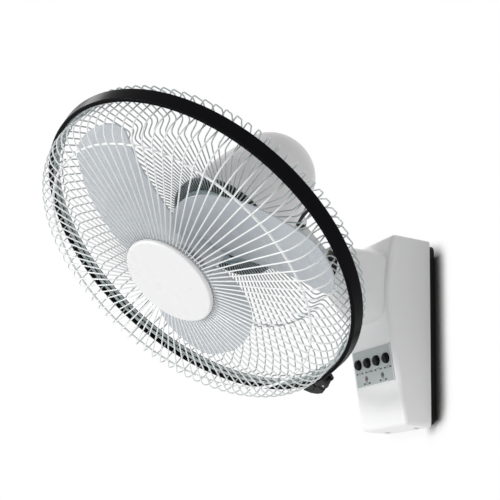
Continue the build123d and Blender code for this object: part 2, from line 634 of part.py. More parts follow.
SHRINK = 1 - SHELL_WALL / SHELL_DOME[0][0]
DOME_S = SHELL_PROFILE[-1][1]
with BuildPart() as motor_shell:
    add(shell_form.part)
    with BuildSketch(SHELL_SECTION):
        with BuildLine():
            Spline(*[(r - SHELL_WALL, s) for r, s in SHELL_PROFILE],
                   *[(r * SHRINK, DOME_S + (s - DOME_S) * SHRINK) for r, s in SHELL_DOME],
                   tangents=[(-0.2, -1), (-1, 0)])
            Polyline((0, DOME_S + (SHELL_DOME[-1][1] - DOME_S) * SHRINK),
                     (0, SHELL_PROFILE[0][1] + 1),
                     (SHELL_PROFILE[0][0] - SHELL_WALL, SHELL_PROFILE[0][1] + 1),
                     (SHELL_PROFILE[0][0] - SHELL_WALL, SHELL_PROFILE[0][1]))
        make_face()
    revolve(axis=SHELL_AXIS, mode=Mode.SUBTRACT)

with BuildPart() as tilt_bracket:
    with BuildSketch(EARS.offset(-EAR_OUT)):
        with BuildLine():
            JernArc((EAR_RADIUS, 0), (0, -1), EAR_RADIUS, -180)
            Polyline((-EAR_RADIUS, 0), (-EAR_RADIUS - 7, 15), (EAR_RADIUS + 7, 15), (EAR_RADIUS, 0))
        make_face()
        Circle(BOLT / 2 + RUNNING_FIT, mode=Mode.SUBTRACT)
    extrude(amount=EAR)
    with BuildSketch(EARS.offset(EAR_IN)):
        with BuildLine():
            JernArc((EAR_RADIUS, 0), (0, -1), EAR_RADIUS, -180)
            Polyline((-EAR_RADIUS, 0), (-EAR_RADIUS - 7, 15), (EAR_RADIUS + 7, 15), (EAR_RADIUS, 0))
        make_face()
        Circle(BOLT / 2 + RUNNING_FIT, mode=Mode.SUBTRACT)
    extrude(amount=EAR)
    with BuildSketch(EARS.offset(-EAR_OUT - 12)):
        with Locations((0, 10.5)):
            Rectangle(34, 9)
    extrude(amount=12)
    with BuildSketch(EARS.offset(EAR_OUT)):
        with Locations((0, 10.5)):
            Rectangle(34, 9)
    extrude(amount=12)
    add(shell_form.part, mode=Mode.SUBTRACT)

with BuildPart() as motor_cover:
    with BuildSketch(SHELL_HEAD.offset(COVER[0])):
        Circle(SHELL_PROFILE[0][0])
        with PolarLocations(66, 18):
            SlotOverall(9, 4, rotation=0, mode=Mode.SUBTRACT)
    extrude(amount=COVER[1])
    with BuildSketch(SHELL_HEAD.offset(COVER[0])):
        Circle(SHELL_PROFILE[0][0] - SHELL_WALL - 2)
        Circle(SHELL_PROFILE[0][0] - SHELL_WALL - 4, mode=Mode.SUBTRACT)
    extrude(amount=-5)
    with BuildSketch(HEAD.offset(COVER[0])):
        Circle(COVER_PLATFORM)
        Circle(COVER_PLATFORM - 8, mode=Mode.SUBTRACT)
        Circle(NECK_THREAD)
    extrude(amount=REAR_PLATE[0] - COVER[0])
    with BuildSketch(HEAD.offset(COVER[0])):
        Circle(NECK_THREAD)
    extrude(amount=REAR_PLATE[0] - COVER[0] + 9)
    with BuildSketch(HEAD.offset(COVER[0])):
        Circle(SHAFT / 2 + 0.6)
    extrude(amount=30, mode=Mode.SUBTRACT)
    with BuildSketch(HEAD.offset(COVER[0])):
        Circle(BEARING[0])
    extrude(amount=BEARING[1], mode=Mode.SUBTRACT)
    with BuildSketch(HEAD.offset(COVER[0])):
        with PolarLocations(FRAME_RADIUS - 8, 3, 30):
            Circle(2.0)
    extrude(amount=20, mode=Mode.SUBTRACT)

with BuildPart() as motor_frame:
    with BuildSketch(HEAD.offset(COVER[0])):
        Circle(FRAME_RADIUS)
        Circle(FRAME_RADIUS - FRAME_WALL, mode=Mode.SUBTRACT)
    extrude(amount=FRAME_BACK - COVER[0] - FRAME_WALL)
    with BuildSketch(HEAD.offset(FRAME_BACK - FRAME_WALL)):
        Circle(FRAME_RADIUS)
    extrude(amount=FRAME_WALL)
    with BuildSketch(HEAD.offset(FRAME_BACK)):
        Circle(BEARING[0] + 3)
        Circle(BEARING[0], mode=Mode.SUBTRACT)
    extrude(amount=BEARING[1])
    with BuildSketch(HEAD.offset(COVER[0])):
        with PolarLocations(FRAME_RADIUS - 6.5, 3, 30):
            Circle(5)
        with PolarLocations(FRAME_RADIUS - 8, 3, 30):
            Circle(1.7, mode=Mode.SUBTRACT)
    extrude(amount=-18)

with BuildPart() as frame_screws:
    with BuildSketch(HEAD.offset(COVER[0] + COVER[1])):
        with PolarLocations(FRAME_RADIUS - 8, 3, 30):
            Circle(3)
            Rectangle(4, 0.9, mode=Mode.SUBTRACT)
    extrude(amount=1.6)
    with BuildSketch(HEAD.offset(COVER[0] + COVER[1])):
        with PolarLocations(FRAME_RADIUS - 8, 3, 30):
            Circle(1.65)
    extrude(amount=-16)

with BuildPart() as bearings:
    with BuildSketch(HEAD.offset(COVER[0])):
        Circle(BEARING[0])
        Circle(SHAFT / 2 + RUNNING_FIT, mode=Mode.SUBTRACT)
    extrude(amount=BEARING[1])
    with BuildSketch(HEAD.offset(FRAME_BACK)):
        Circle(BEARING[0])
        Circle(SHAFT / 2 + RUNNING_FIT, mode=Mode.SUBTRACT)
    extrude(amount=BEARING[1])

with BuildPart() as stator:
    with BuildSketch(HEAD.offset(STATOR[0])):
        Circle(FRAME_RADIUS - FRAME_WALL)
        Circle(STATOR[2], mode=Mode.SUBTRACT)
        with PolarLocations(31, 12):
            SlotOverall(9, 6, mode=Mode.SUBTRACT)
    extrude(amount=STATOR[1])

with BuildPart() as coils:
    with BuildSketch(HEAD.offset(STATOR[0] - 8)):
        Circle(39)
        Circle(26, mode=Mode.SUBTRACT)
    extrude(amount=8)
    with BuildSketch(HEAD.offset(STATOR[0] + STATOR[1])):
        Circle(39)
        Circle(26, mode=Mode.SUBTRACT)
    extrude(amount=8)

with BuildPart() as rotor_core:
    with BuildSketch(HEAD.offset(STATOR[0])):
        Circle(STATOR[2] - AIR_GAP)
        Circle(SHAFT / 2, mode=Mode.SUBTRACT)
    extrude(amount=STATOR[1])

with BuildPart() as rotor_shaft:
    with BuildSketch(HEAD.offset(SHAFT_FROM + 1)):
        Circle(SHAFT / 2)
    extrude(amount=SHAFT_TO - SHAFT_FROM - 1)
    with BuildSketch(Plane(origin=RING_CENTRE + FORWARD * PIN_S, x_dir=FORWARD, z_dir=LATERAL)):
        Circle(PIN / 2)
    extrude(amount=SHAFT, both=True, mode=Mode.SUBTRACT)

with BuildPart() as drive_pin:
    with BuildSketch(Plane(origin=RING_CENTRE + FORWARD * PIN_S, x_dir=FORWARD, z_dir=LATERAL)):
        Circle(PIN / 2)
    extrude(amount=9, both=True)


def blade_height(radius, angle):
    """How far forward a blade lies at one radius and at degrees from its leading edge."""
    step = max(radius - 40.0, 0.0) / 150.0
    slope = BLADE_RISE_HUB + (BLADE_RISE_TIP - BLADE_RISE_HUB) * step ** 1.4
    return BLADE_BACK + slope * (angle + 7.0)


# a wide twisted sheet, lofted through radial cuts, that one blade is trimmed from
BLADE_CUTS = [-26, 0, 26, 52, 78, 104, 126]
BLADE_RADII = [18, 60, 100, 140, 175, 205]
with BuildPart() as blade_sheet:
    for cut in BLADE_CUTS:
        turn = radians(BLADE_START + cut - 3)
        outward = LATERAL * cos(turn) + UPWARD * sin(turn)
        with BuildSketch(Plane(origin=RING_CENTRE, x_dir=outward, z_dir=outward.cross(FORWARD))):
            with BuildLine():
                near = [(r, blade_height(r, cut) - BLADE_THICK / 2) for r in BLADE_RADII]
                far = [(r, blade_height(r, cut) + BLADE_THICK / 2) for r in BLADE_RADII]
                Spline(*near)
                Line(near[-1], far[-1])
                Spline(*far)
                Line(far[0], near[0])
            make_face()
    loft()

with BuildPart() as blade:
    with BuildSketch(HEAD.offset(HUB_FROM)):
        with BuildLine():
            rim = [polar(r, BLADE_START + a - 3) for r, a in BLADE_OUTLINE]
            Spline(*rim)
            Polyline(rim[-1], polar(20, BLADE_START + 50), rim[0])
        make_face()
    extrude(amount=HUB_LENGTH + 40)
    add(blade_sheet.part, mode=Mode.INTERSECT)

with BuildPart() as propeller:
    with BuildSketch(HEAD.offset(HUB_FROM)):
        Circle(HUB_RADIUS)
    extrude(amount=HUB_LENGTH)
    fillet(propeller.faces().sort_by(HEAD_AXIS)[-1].edges(), 5)
    with BuildSketch(HEAD.offset(HUB_FROM)):
        Circle(HUB_RADIUS - 3)
        Circle(11, mode=Mode.SUBTRACT)
    extrude(amount=HUB_LENGTH - 14, mode=Mode.SUBTRACT)
    for i in range(BLADES):
        add(blade.part.rotate(HEAD_AXIS, i * 360 / BLADES))
    with BuildSketch(HEAD.offset(HUB_FROM)):
        Circle(10)
    extrude(amount=HUB_LENGTH - 8)
    with BuildSketch(HEAD.offset(HUB_FROM)):
        Circle(SHAFT / 2)
    extrude(amount=HUB_LENGTH + 10, mode=Mode.SUBTRACT)
    with BuildSketch(HEAD.offset(HUB_FROM)):
        Rectangle(22, PIN)
    extrude(amount=PIN_S - HUB_FROM, mode=Mode.SUBTRACT)
    add(drive_pin.part, mode=Mode.SUBTRACT)

with BuildPart() as propeller_nut:
    with BuildSketch(HEAD.offset(HUB_FROM + HUB_LENGTH)):
        Circle(13)
        with PolarLocations(13.6, 8):
            Circle(1.8, mode=Mode.SUBTRACT)
    extrude(amount=14)
    fillet(propeller_nut.faces().sort_by(HEAD_AXIS)[-1].edges(), 1.2)
    with BuildSketch(HEAD.offset(HUB_FROM + HUB_LENGTH)):
        Circle(SHAFT / 2)
    extrude(amount=SHAFT_TO - HUB_FROM - HUB_LENGTH + 0.5, mode=Mode.SUBTRACT)

# ================================================================ guards
FACE_SLOPE = (FRONT_CENTRE[1] - FRONT_CORNER[1]) / (FRONT_CORNER[0] - FRONT_CENTRE[0])
FRONT_BACK = RIM_S - 2.0


def face_height(radius):
    """Where the front guard's wires lie at one radius."""
    return FRONT_CORNER[1] + (FRONT_CORNER[0] - radius) * FACE_SLOPE


with BuildPart() as front_wire:
    with BuildLine(SECTION) as front_path:
        FilletPolyline((FRONT_CORNER[0], FRONT_BACK), FRONT_CORNER, FRONT_CENTRE, radius=FRONT_BEND)
    with BuildSketch(Plane(origin=front_path.line @ 0, z_dir=front_path.line % 0)):
        Circle(GUARD_WIRE / 2)
    sweep()

with BuildPart() as rear_wire:
    with BuildLine(SECTION) as rear_path:
        FilletPolyline(*REAR_PATH, radius=REAR_BEND)
    with BuildSketch(Plane(origin=rear_path.line @ 0, z_dir=rear_path.line % 0)):
        Circle(GUARD_WIRE / 2)
    sweep()

with BuildPart() as front_guard_wires:
    add([front_wire.part.rotate(HEAD_AXIS, i * 360 / FRONT_WIRES) for i in range(FRONT_WIRES)])

with BuildPart() as rear_guard_wires:
    add([rear_wire.part.rotate(HEAD_AXIS, (i + 0.5) * 360 / REAR_WIRES) for i in range(REAR_WIRES)])

RING_TOUCH = GUARD_WIRE / 2
with BuildPart() as front_rim_ring:
    add(ring(RIM_RADIUS, RIM_S, RIM_WIRE))

with BuildPart() as rear_rim_ring:
    add(ring(RIM_RADIUS, -RIM_S, RIM_WIRE))

with BuildPart() as front_support_ring:
    add(ring(SUPPORT_RING[0], face_height(SUPPORT_RING[0]) - RING_TOUCH - SUPPORT_RING[1] / 2,
             SUPPORT_RING[1]))

with BuildPart() as front_centre_ring:
    add(ring(CENTRE_RING[0], face_height(CENTRE_RING[0]) - RING_TOUCH - CENTRE_RING[1] / 2,
             CENTRE_RING[1]))

with BuildPart() as rear_plate:
    with BuildSketch(HEAD.offset(REAR_PLATE[0])):
        Circle(REAR_PLATE_RADIUS)
        Circle(NECK_THREAD + 0.2, mode=Mode.SUBTRACT)
        with PolarLocations(REAR_SLOT_RADIUS, REAR_SLOTS, 15):
            SlotOverall(14, 9, rotation=90, mode=Mode.SUBTRACT)
    extrude(amount=REAR_PLATE[1])
    with BuildSketch(HEAD.offset(REAR_PLATE[0])):
        Circle(REAR_PLATE_RADIUS)
        Circle(REAR_PLATE_RADIUS - 1.6, mode=Mode.SUBTRACT)
    extrude(amount=REAR_PLATE[1] + 2)

with BuildPart() as guard_nut:
    with BuildSketch(HEAD.offset(REAR_PLATE[0] + REAR_PLATE[1])):
        Circle(24)
        Circle(NECK_THREAD + RUNNING_FIT, mode=Mode.SUBTRACT)
        with PolarLocations(25, 8):
            Circle(3, mode=Mode.SUBTRACT)
    extrude(amount=7)

RETAINER_S = face_height(CENTRE_RING[0]) - RING_TOUCH - CENTRE_RING[1]
with BuildPart() as front_cap:
    with BuildSketch(HEAD.offset(CAP_BACK)):
        Circle(CAP_RADIUS)
    extrude(amount=CAP_FRONT - CAP_BACK)
    fillet(front_cap.faces().sort_by(HEAD_AXIS)[-1].edges(), 3)
    with BuildSketch(HEAD.offset(CAP_BACK)):
        Circle(CAP_RADIUS - 2.2)
    extrude(amount=CAP_FRONT - CAP_BACK - CAP_WALL, mode=Mode.SUBTRACT)
    with BuildSketch(HEAD.offset(RETAINER_S)):
        with PolarLocations(CAP_SCREW_RADIUS, CAP_SCREWS, 90):
            Circle(3.6)
    extrude(amount=CAP_FRONT - CAP_WALL - RETAINER_S)
    with BuildSketch(HEAD.offset(RETAINER_S)):
        with PolarLocations(CAP_SCREW_RADIUS, CAP_SCREWS, 90):
            Circle(CAP_SCREW / 2)
    extrude(amount=7, mode=Mode.SUBTRACT)

with BuildPart() as cap_retainer:
    with BuildSketch(HEAD.offset(RETAINER_S)):
        Circle(RETAINER[1])
        Circle(RETAINER[0], mode=Mode.SUBTRACT)
        with PolarLocations(CAP_SCREW_RADIUS, CAP_SCREWS, 90):
            Circle(CAP_SCREW / 2 + 0.1, mode=Mode.SUBTRACT)
    extrude(amount=-RETAINER[2])

with BuildPart() as cap_screws:
    with BuildSketch(HEAD.offset(RETAINER_S - RETAINER[2])):
        with PolarLocations(CAP_SCREW_RADIUS, CAP_SCREWS, 90):
            Circle(CAP_SCREW)
            Rectangle(CAP_SCREW * 1.4, 0.8, mode=Mode.SUBTRACT)
    extrude(amount=-1.8)
    with BuildSketch(HEAD.offset(RETAINER_S - RETAINER[2])):
        with PolarLocations(CAP_SCREW_RADIUS, CAP_SCREWS, 90):
            Circle(CAP_SCREW / 2 - RUNNING_FIT)
    extrude(amount=RETAINER[2] + 6)

RIM_OUTER = RIM_RADIUS + RIM_WIRE / 2
HOOK = RIM_S + RIM_WIRE / 2 + 0.2
with BuildPart() as band_form:
    with BuildSketch(SECTION):
        with BuildLine():
            Polyline((0, -BAND_REAR), (BAND_RADIUS + BAND_FLARE, -BAND_REAR),
                     (BAND_RADIUS, BAND_FRONT), (0, BAND_FRONT), close=True)
        make_face()
    revolve(axis=HEAD_AXIS)

with BuildPart() as trim_band:
    with BuildSketch(SECTION):
        with BuildLine():
            Polyline(
                (BAND_RADIUS + BAND_FLARE, -BAND_REAR), (BAND_RADIUS, BAND_FRONT),
                (RIM_OUTER - BAND_LIP, BAND_FRONT), (RIM_OUTER - BAND_LIP, HOOK), (RIM_OUTER, HOOK),
                (RIM_OUTER, BAND_GROOVE), (RIM_OUTER + 2, BAND_GROOVE), (RIM_OUTER + 2, -BAND_GROOVE),
                (RIM_OUTER, -BAND_GROOVE), (RIM_OUTER, -HOOK), (RIM_OUTER - BAND_LIP, -HOOK),
                (RIM_OUTER - BAND_LIP, -BAND_REAR), close=True,
            )
        make_face()
    revolve(axis=HEAD_AXIS)
    outer = trim_band.edges().filter_by(GeomType.CIRCLE).filter_by(lambda e: e.radius > BAND_RADIUS - 0.1)
    fillet(outer, 1.5)
    with BuildSketch(LATCH.offset(-12)):
        Rectangle(BAND_SPLIT, 3 * BAND_FRONT)
    extrude(amount=20, mode=Mode.SUBTRACT)

# ================================================================ latch that closes the band
PIN_X, PIN_OUT, PIN_WIDE = LATCH_PIN
LATCH_SIDE = Plane(origin=LATCH.origin, x_dir=LATCH.x_dir, z_dir=-FORWARD)
with BuildPart() as latch_base:
    with BuildSketch(LATCH_SIDE.offset(-LATCH_WIDTH / 2)):
        with BuildLine():
            Polyline((1.5, -1.5), (21, -3), (21, 6), (18, PIN_OUT + 4), (8, PIN_OUT + 4), (6, 5), (1.5, 5),
                     close=True)
        make_face()
        with Locations((PIN_X, PIN_OUT)):
            Circle(PIN_WIDE / 2, mode=Mode.SUBTRACT)
    extrude(amount=LATCH_WIDTH)
    with BuildSketch(LATCH_SIDE.offset(-LATCH_WIDTH / 2 + LATCH_CHEEK)):
        with Locations((PIN_X, PIN_OUT + 2)):
            Rectangle(30, 13)
    extrude(amount=LATCH_WIDTH - 2 * LATCH_CHEEK, mode=Mode.SUBTRACT)
    add(band_form.part, mode=Mode.SUBTRACT)

with BuildPart() as latch_keeper:
    with BuildSketch(LATCH_SIDE.offset(-LATCH_WIDTH / 2)):
        with BuildLine():
            Polyline((-1.5, -1.5), (-19, -2.5), (-21, -1), (-19, 3), (-12, 8), (-8, 8), (-6, 6), (-1.5, 5),
                     close=True)
        make_face()
    extrude(amount=LATCH_WIDTH)
    add(band_form.part, mode=Mode.SUBTRACT)

with BuildPart() as latch_pin:
    with BuildSketch(LATCH_SIDE.offset(-LATCH_WIDTH / 2)):
        with Locations((PIN_X, PIN_OUT)):
            Circle(PIN_WIDE / 2)
    extrude(amount=LATCH_WIDTH)

with BuildPart() as latch_lever:
    with BuildSketch(LATCH_SIDE.offset(-LATCH_WIDTH / 2 + LATCH_CHEEK + LATCH_SLACK)):
        with BuildLine():
            Polyline((PIN_X + 4, PIN_OUT - 1), (PIN_X + 4, PIN_OUT + 3), (9, PIN_OUT + 7), (5, 14), (5, 8.5),
                     (8, PIN_OUT - 3), (PIN_X, PIN_OUT - 4), close=True)
        make_face()
    extrude(amount=LATCH_WIDTH - 2 * LATCH_CHEEK - 2 * LATCH_SLACK)
    with BuildSketch(LATCH_SIDE.offset(-LATCH_WIDTH / 2)):
        with BuildLine():
            Polyline((6, 13), (7, 15), (1, 17), (-8, 15.5), (-17, 11), (-24, 3.5), (-22.5, 2.5), (-19, 4),
                     (-12.3, 8.6), (-7.6, 8.6), (-5.4, 6.6), (-1, 5.8), (4.6, 5.8), (4.6, 8.6), close=True)
        make_face()
    extrude(amount=LATCH_WIDTH)
    with BuildSketch(LATCH_SIDE.offset(-LATCH_WIDTH)):
        with Locations((PIN_X, PIN_OUT)):
            Circle(PIN_WIDE / 2 + RUNNING_FIT)
    extrude(amount=2 * LATCH_WIDTH, mode=Mode.SUBTRACT)

# ================================================================ one STEP file for each piece
os.makedirs("parts", exist_ok=True)
wall_plate.part.label = "wall_plate"
export_step(wall_plate.part, "parts/wall_plate.step")
base_housing.part.label = "base_housing"
export_step(base_housing.part, "parts/base_housing.step")
housing_screws.part.label = "housing_screws"
export_step(housing_screws.part, "parts/housing_screws.step")
panel_label.part.label = "panel_label"
export_step(panel_label.part, "parts/panel_label.step")
led_red.part.label = "led_red"
export_step(led_red.part, "parts/led_red.step")
led_green.part.label = "led_green"
export_step(led_green.part, "parts/led_green.step")
control_board.part.label = "control_board"
export_step(control_board.part, "parts/control_board.step")
board_screws.part.label = "board_screws"
export_step(board_screws.part, "parts/board_screws.step")
button_switches.part.label = "button_switches"
export_step(button_switches.part, "parts/button_switches.step")
battery.part.label = "battery"
export_step(battery.part, "parts/battery.step")
power_board.part.label = "power_board"
export_step(power_board.part, "parts/power_board.step")
transformer.part.label = "transformer"
export_step(transformer.part, "parts/transformer.step")
power_inlet.part.label = "power_inlet"
export_step(power_inlet.part, "parts/power_inlet.step")
pan_bush.part.label = "pan_bush"
export_step(pan_bush.part, "parts/pan_bush.step")
swing_motor.part.label = "swing_motor"
export_step(swing_motor.part, "parts/swing_motor.step")
button_1.part.label = "button_1"
export_step(button_1.part, "parts/button_1.step")
button_2.part.label = "button_2"
export_step(button_2.part, "parts/button_2.step")
button_3.part.label = "button_3"
export_step(button_3.part, "parts/button_3.step")
button_4.part.label = "button_4"
export_step(button_4.part, "parts/button_4.step")
pan_shaft.part.label = "pan_shaft"
export_step(pan_shaft.part, "parts/pan_shaft.step")
swivel_ball.part.label = "swivel_ball"
export_step(swivel_ball.part, "parts/swivel_ball.step")
neck_stem.part.label = "neck_stem"
export_step(neck_stem.part, "parts/neck_stem.step")
tilt_bolt.part.label = "tilt_bolt"
export_step(tilt_bolt.part, "parts/tilt_bolt.step")
tilt_nut.part.label = "tilt_nut"
export_step(tilt_nut.part, "parts/tilt_nut.step")
tilt_bracket.part.label = "tilt_bracket"
export_step(tilt_bracket.part, "parts/tilt_bracket.step")
motor_shell.part.label = "motor_shell"
export_step(motor_shell.part, "parts/motor_shell.step")
motor_cover.part.label = "motor_cover"
export_step(motor_cover.part, "parts/motor_cover.step")
motor_frame.part.label = "motor_frame"
export_step(motor_frame.part, "parts/motor_frame.step")
frame_screws.part.label = "frame_screws"
export_step(frame_screws.part, "parts/frame_screws.step")
bearings.part.label = "bearings"
export_step(bearings.part, "parts/bearings.step")
stator.part.label = "stator"
export_step(stator.part, "parts/stator.step")
coils.part.label = "coils"
export_step(coils.part, "parts/coils.step")
rotor_core.part.label = "rotor_core"
export_step(rotor_core.part, "parts/rotor_core.step")
rotor_shaft.part.label = "rotor_shaft"
export_step(rotor_shaft.part, "parts/rotor_shaft.step")
drive_pin.part.label = "drive_pin"
export_step(drive_pin.part, "parts/drive_pin.step")
propeller.part.label = "propeller"
export_step(propeller.part, "parts/propeller.step")
propeller_nut.part.label = "propeller_nut"
export_step(propeller_nut.part, "parts/propeller_nut.step")
front_guard_wires.part.label = "front_guard_wires"
export_step(front_guard_wires.part, "parts/front_guard_wires.step")
rear_guard_wires.part.label = "rear_guard_wires"
export_step(rear_guard_wires.part, "parts/rear_guard_wires.step")
front_rim_ring.part.label = "front_rim_ring"
export_step(front_rim_ring.part, "parts/front_rim_ring.step")
rear_rim_ring.part.label = "rear_rim_ring"
export_step(rear_rim_ring.part, "parts/rear_rim_ring.step")
front_support_ring.part.label = "front_support_ring"
export_step(front_support_ring.part, "parts/front_support_ring.step")
front_centre_ring.part.label = "front_centre_ring"
export_step(front_centre_ring.part, "parts/front_centre_ring.step")
rear_plate.part.label = "rear_plate"
export_step(rear_plate.part, "parts/rear_plate.step")
guard_nut.part.label = "guard_nut"
export_step(guard_nut.part, "parts/guard_nut.step")
front_cap.part.label = "front_cap"
export_step(front_cap.part, "parts/front_cap.step")
cap_retainer.part.label = "cap_retainer"
export_step(cap_retainer.part, "parts/cap_retainer.step")
cap_screws.part.label = "cap_screws"
export_step(cap_screws.part, "parts/cap_screws.step")
trim_band.part.label = "trim_band"
export_step(trim_band.part, "parts/trim_band.step")
latch_base.part.label = "latch_base"
export_step(latch_base.part, "parts/latch_base.step")
latch_keeper.part.label = "latch_keeper"
export_step(latch_keeper.part, "parts/latch_keeper.step")
latch_pin.part.label = "latch_pin"
export_step(latch_pin.part, "parts/latch_pin.step")
latch_lever.part.label = "latch_lever"
export_step(latch_lever.part, "parts/latch_lever.step")
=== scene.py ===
import logging
import math
from dataclasses import dataclass, field
from enum import Enum
from typing import Any, Iterable, Sequence, Union

import bmesh
import bpy
from mathutils import Matrix, Vector


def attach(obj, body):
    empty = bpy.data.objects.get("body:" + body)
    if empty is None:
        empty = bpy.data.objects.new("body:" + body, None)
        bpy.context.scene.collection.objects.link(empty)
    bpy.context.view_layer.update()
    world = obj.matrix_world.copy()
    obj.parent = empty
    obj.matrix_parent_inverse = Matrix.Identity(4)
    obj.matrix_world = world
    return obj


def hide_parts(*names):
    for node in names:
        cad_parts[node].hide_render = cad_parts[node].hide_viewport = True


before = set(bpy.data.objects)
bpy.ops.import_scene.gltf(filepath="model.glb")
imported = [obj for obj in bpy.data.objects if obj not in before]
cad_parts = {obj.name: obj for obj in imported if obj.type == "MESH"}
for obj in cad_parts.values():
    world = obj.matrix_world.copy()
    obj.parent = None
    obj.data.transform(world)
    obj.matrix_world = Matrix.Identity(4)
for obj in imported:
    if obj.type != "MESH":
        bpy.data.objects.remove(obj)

LOG = logging.getLogger("wall_fan")
MM = 0.001
Point2 = tuple[float, float]
Point3 = tuple[float, float, float]
Colour = tuple[float, float, float]
Term = Union["Value", float, Sequence[float]]
NodeOwner = Union[bpy.types.Material, bpy.types.World]

WHITE: Colour = (1.0, 1.0, 1.0)
EVEN: Point3 = (1.0, 1.0, 1.0)


class Body(Enum):
    """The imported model's bodies that the scene's own pieces ride on."""

    BASE = "base"
    HEAD = "head"


class Relief(Enum):
    """How a surface's fine relief is made."""

    MOULDED = "moulded"
    BRUSHED = "brushed"
    CAST = "cast"
    WOUND = "wound"


# ---------------------------------------------------------------- shader maths
NOISE_ROUGHNESS = 0.55
# a colour Mix node's numbered sockets
MIX_FIRST, MIX_SECOND, MIX_RESULT = 6, 7, 2


class Value:
    """A shader socket that adds Math nodes when it is used in an expression."""

    def __init__(self, graph: "Graph", socket: bpy.types.NodeSocket) -> None:
        """Keep the socket and the graph that it belongs to.

        Args:
            graph: The node graph that new nodes go into.
            socket: The output socket that holds this value.
        """
        self.graph = graph
        self.socket = socket

    def _math(self, operation: str, left: Term, right: Term) -> "Value":
        """One Math node on two terms."""
        return self.graph.node("ShaderNodeMath", {"operation": operation}, {0: left, 1: right})

    def __add__(self, other: Term) -> "Value":
        """Sum."""
        return self._math("ADD", self, other)

    def __radd__(self, other: Term) -> "Value":
        """Sum with a number on the left."""
        return self._math("ADD", other, self)

    def __sub__(self, other: Term) -> "Value":
        """Difference."""
        return self._math("SUBTRACT", self, other)

    def __rsub__(self, other: Term) -> "Value":
        """Difference with a number on the left."""
        return self._math("SUBTRACT", other, self)

    def __mul__(self, other: Term) -> "Value":
        """Product."""
        return self._math("MULTIPLY", self, other)

    def __rmul__(self, other: Term) -> "Value":
        """Product with a number on the left."""
        return self._math("MULTIPLY", other, self)


def blend(first: Value, second: Value, share: float) -> Value:
    """Two values blended by the first one's share."""
    return first * share + second * (1.0 - share)


class Graph:
    """The node graph of a material or of the world."""

    def __init__(self, owner: NodeOwner) -> None:
        """Switch the owner's nodes on and clear them.

        Args:
            owner: The material or the world to build in.
        """
        owner.use_nodes = True
        self.tree = owner.node_tree
        self.tree.nodes.clear()

    def add(self, kind: str, settings: dict[str, Any],
            inputs: dict[str | int, Term]) -> bpy.types.Node:
        """Add one node, settings first and inputs after.

        Args:
            kind: The node's type name.
            settings: Properties of the node.
            inputs: Values or links, by socket name or number.

        Returns:
            The new node.
        """
        made = self.tree.nodes.new(kind)
        for name, value in settings.items():
            setattr(made, name, value)
        for name, value in inputs.items():
            self.feed(made.inputs[name], value)
        return made

    def node(self, kind: str, settings: dict[str, Any], inputs: dict[str | int, Term],
             out: str | int = 0) -> Value:
        """Add one node and take one of its outputs.

        Args:
            kind: The node's type name.
            settings: Properties of the node.
            inputs: Values or links, by socket name or number.
            out: The output socket that is returned, by name or number.

        Returns:
            The output, ready for shader maths.
        """
        return Value(self, self.add(kind, settings, inputs).outputs[out])

    def feed(self, socket: bpy.types.NodeSocket, value: Term) -> None:
        """Link a value to a socket, or set it there.

        Args:
            socket: The input socket.
            value: A value to link, or a number, a vector or a colour to set.
        """
        if isinstance(value, Value):
            self.tree.links.new(value.socket, socket)
        elif socket.type == "RGBA":
            socket.default_value = (*value, 1.0)
        else:
            socket.default_value = value

    def mix(self, share: Term, first: Term, second: Term) -> Value:
        """Mix two colours.

        Args:
            share: How much of the second colour, 0 to 1.
            first: The colour at 0.
            second: The colour at 1.

        Returns:
            The mixed colour.
        """
        return self.node("ShaderNodeMix", {"data_type": "RGBA"}, {
            "Factor": share, MIX_FIRST: first, MIX_SECOND: second}, MIX_RESULT)

    def fade(self, value: Value, start: float, end: float, least: float = 0.0) -> Value:
        """A level that rises evenly to 1 between two values, and is flat outside them.

        Args:
            value: What the level depends on.
            start: The value at which the level is least.
            end: The value at which it is 1.
            least: The level at the start.

        Returns:
            The level.
        """
        return self.node("ShaderNodeMapRange", {}, {
            "Value": value, "From Min": start, "From Max": end, "To Min": least, "To Max": 1.0})

    def place(self, stretch: Point3 = EVEN) -> Value:
        """Where a point is on the object.

        Args:
            stretch: How much the place is multiplied along each axis.

        Returns:
            The place, as a vector.
        """
        spot = self.node("ShaderNodeTexCoord", {}, {}, "Object")
        if stretch == EVEN:
            return spot
        return self.node("ShaderNodeVectorMath", {"operation": "MULTIPLY"}, {0: spot, 1: stretch})

    def noise(self, size_mm: float, detail: float = 3.0, stretch: Point3 = EVEN) -> Value:
        """Smooth noise, 0 to 1.

        Args:
            size_mm: The size of one lump.
            detail: How many finer layers are added.
            stretch: How much the lumps are squeezed along each axis.

        Returns:
            The noise value.
        """
        return self.node("ShaderNodeTexNoise", {}, {
            "Vector": self.place(stretch), "Scale": 1.0 / (size_mm * MM), "Detail": detail,
            "Roughness": NOISE_ROUGHNESS})

    def bump(self, height: Value, strength: float, depth_mm: float) -> Value:
        """A normal bumped by a height.

        Args:
            height: The height, about 0 to 1.
            strength: How much of the bump shows, 0 to 1.
            depth_mm: How deep the relief is.

        Returns:
            The bumped normal.
        """
        return self.node("ShaderNodeBump", {}, {
            "Height": height, "Strength": strength, "Distance": depth_mm * MM}, "Normal")

    def close(self, kind: str, shader: Value) -> None:
        """Link the finished shader to the graph's output node."""
        self.add(kind, {}, {"Surface": shader})


# ---------------------------------------------------------------- finishes
# mottle in the colour: share of the broad noise, and the fine noise in grain sizes
BROAD_SHARE = 0.7
FINE_TIMES = 2.5
# handling marks in the roughness
SMEAR_MM = 22.0
SMEAR_STRETCH: Point3 = (1.0, 1.0, 0.4)
SMEAR_SHARE = 0.6
ROUGH_LEAST = 0.86
ROUGH_SWING = 0.28
COAT_ROUGHNESS = 0.08
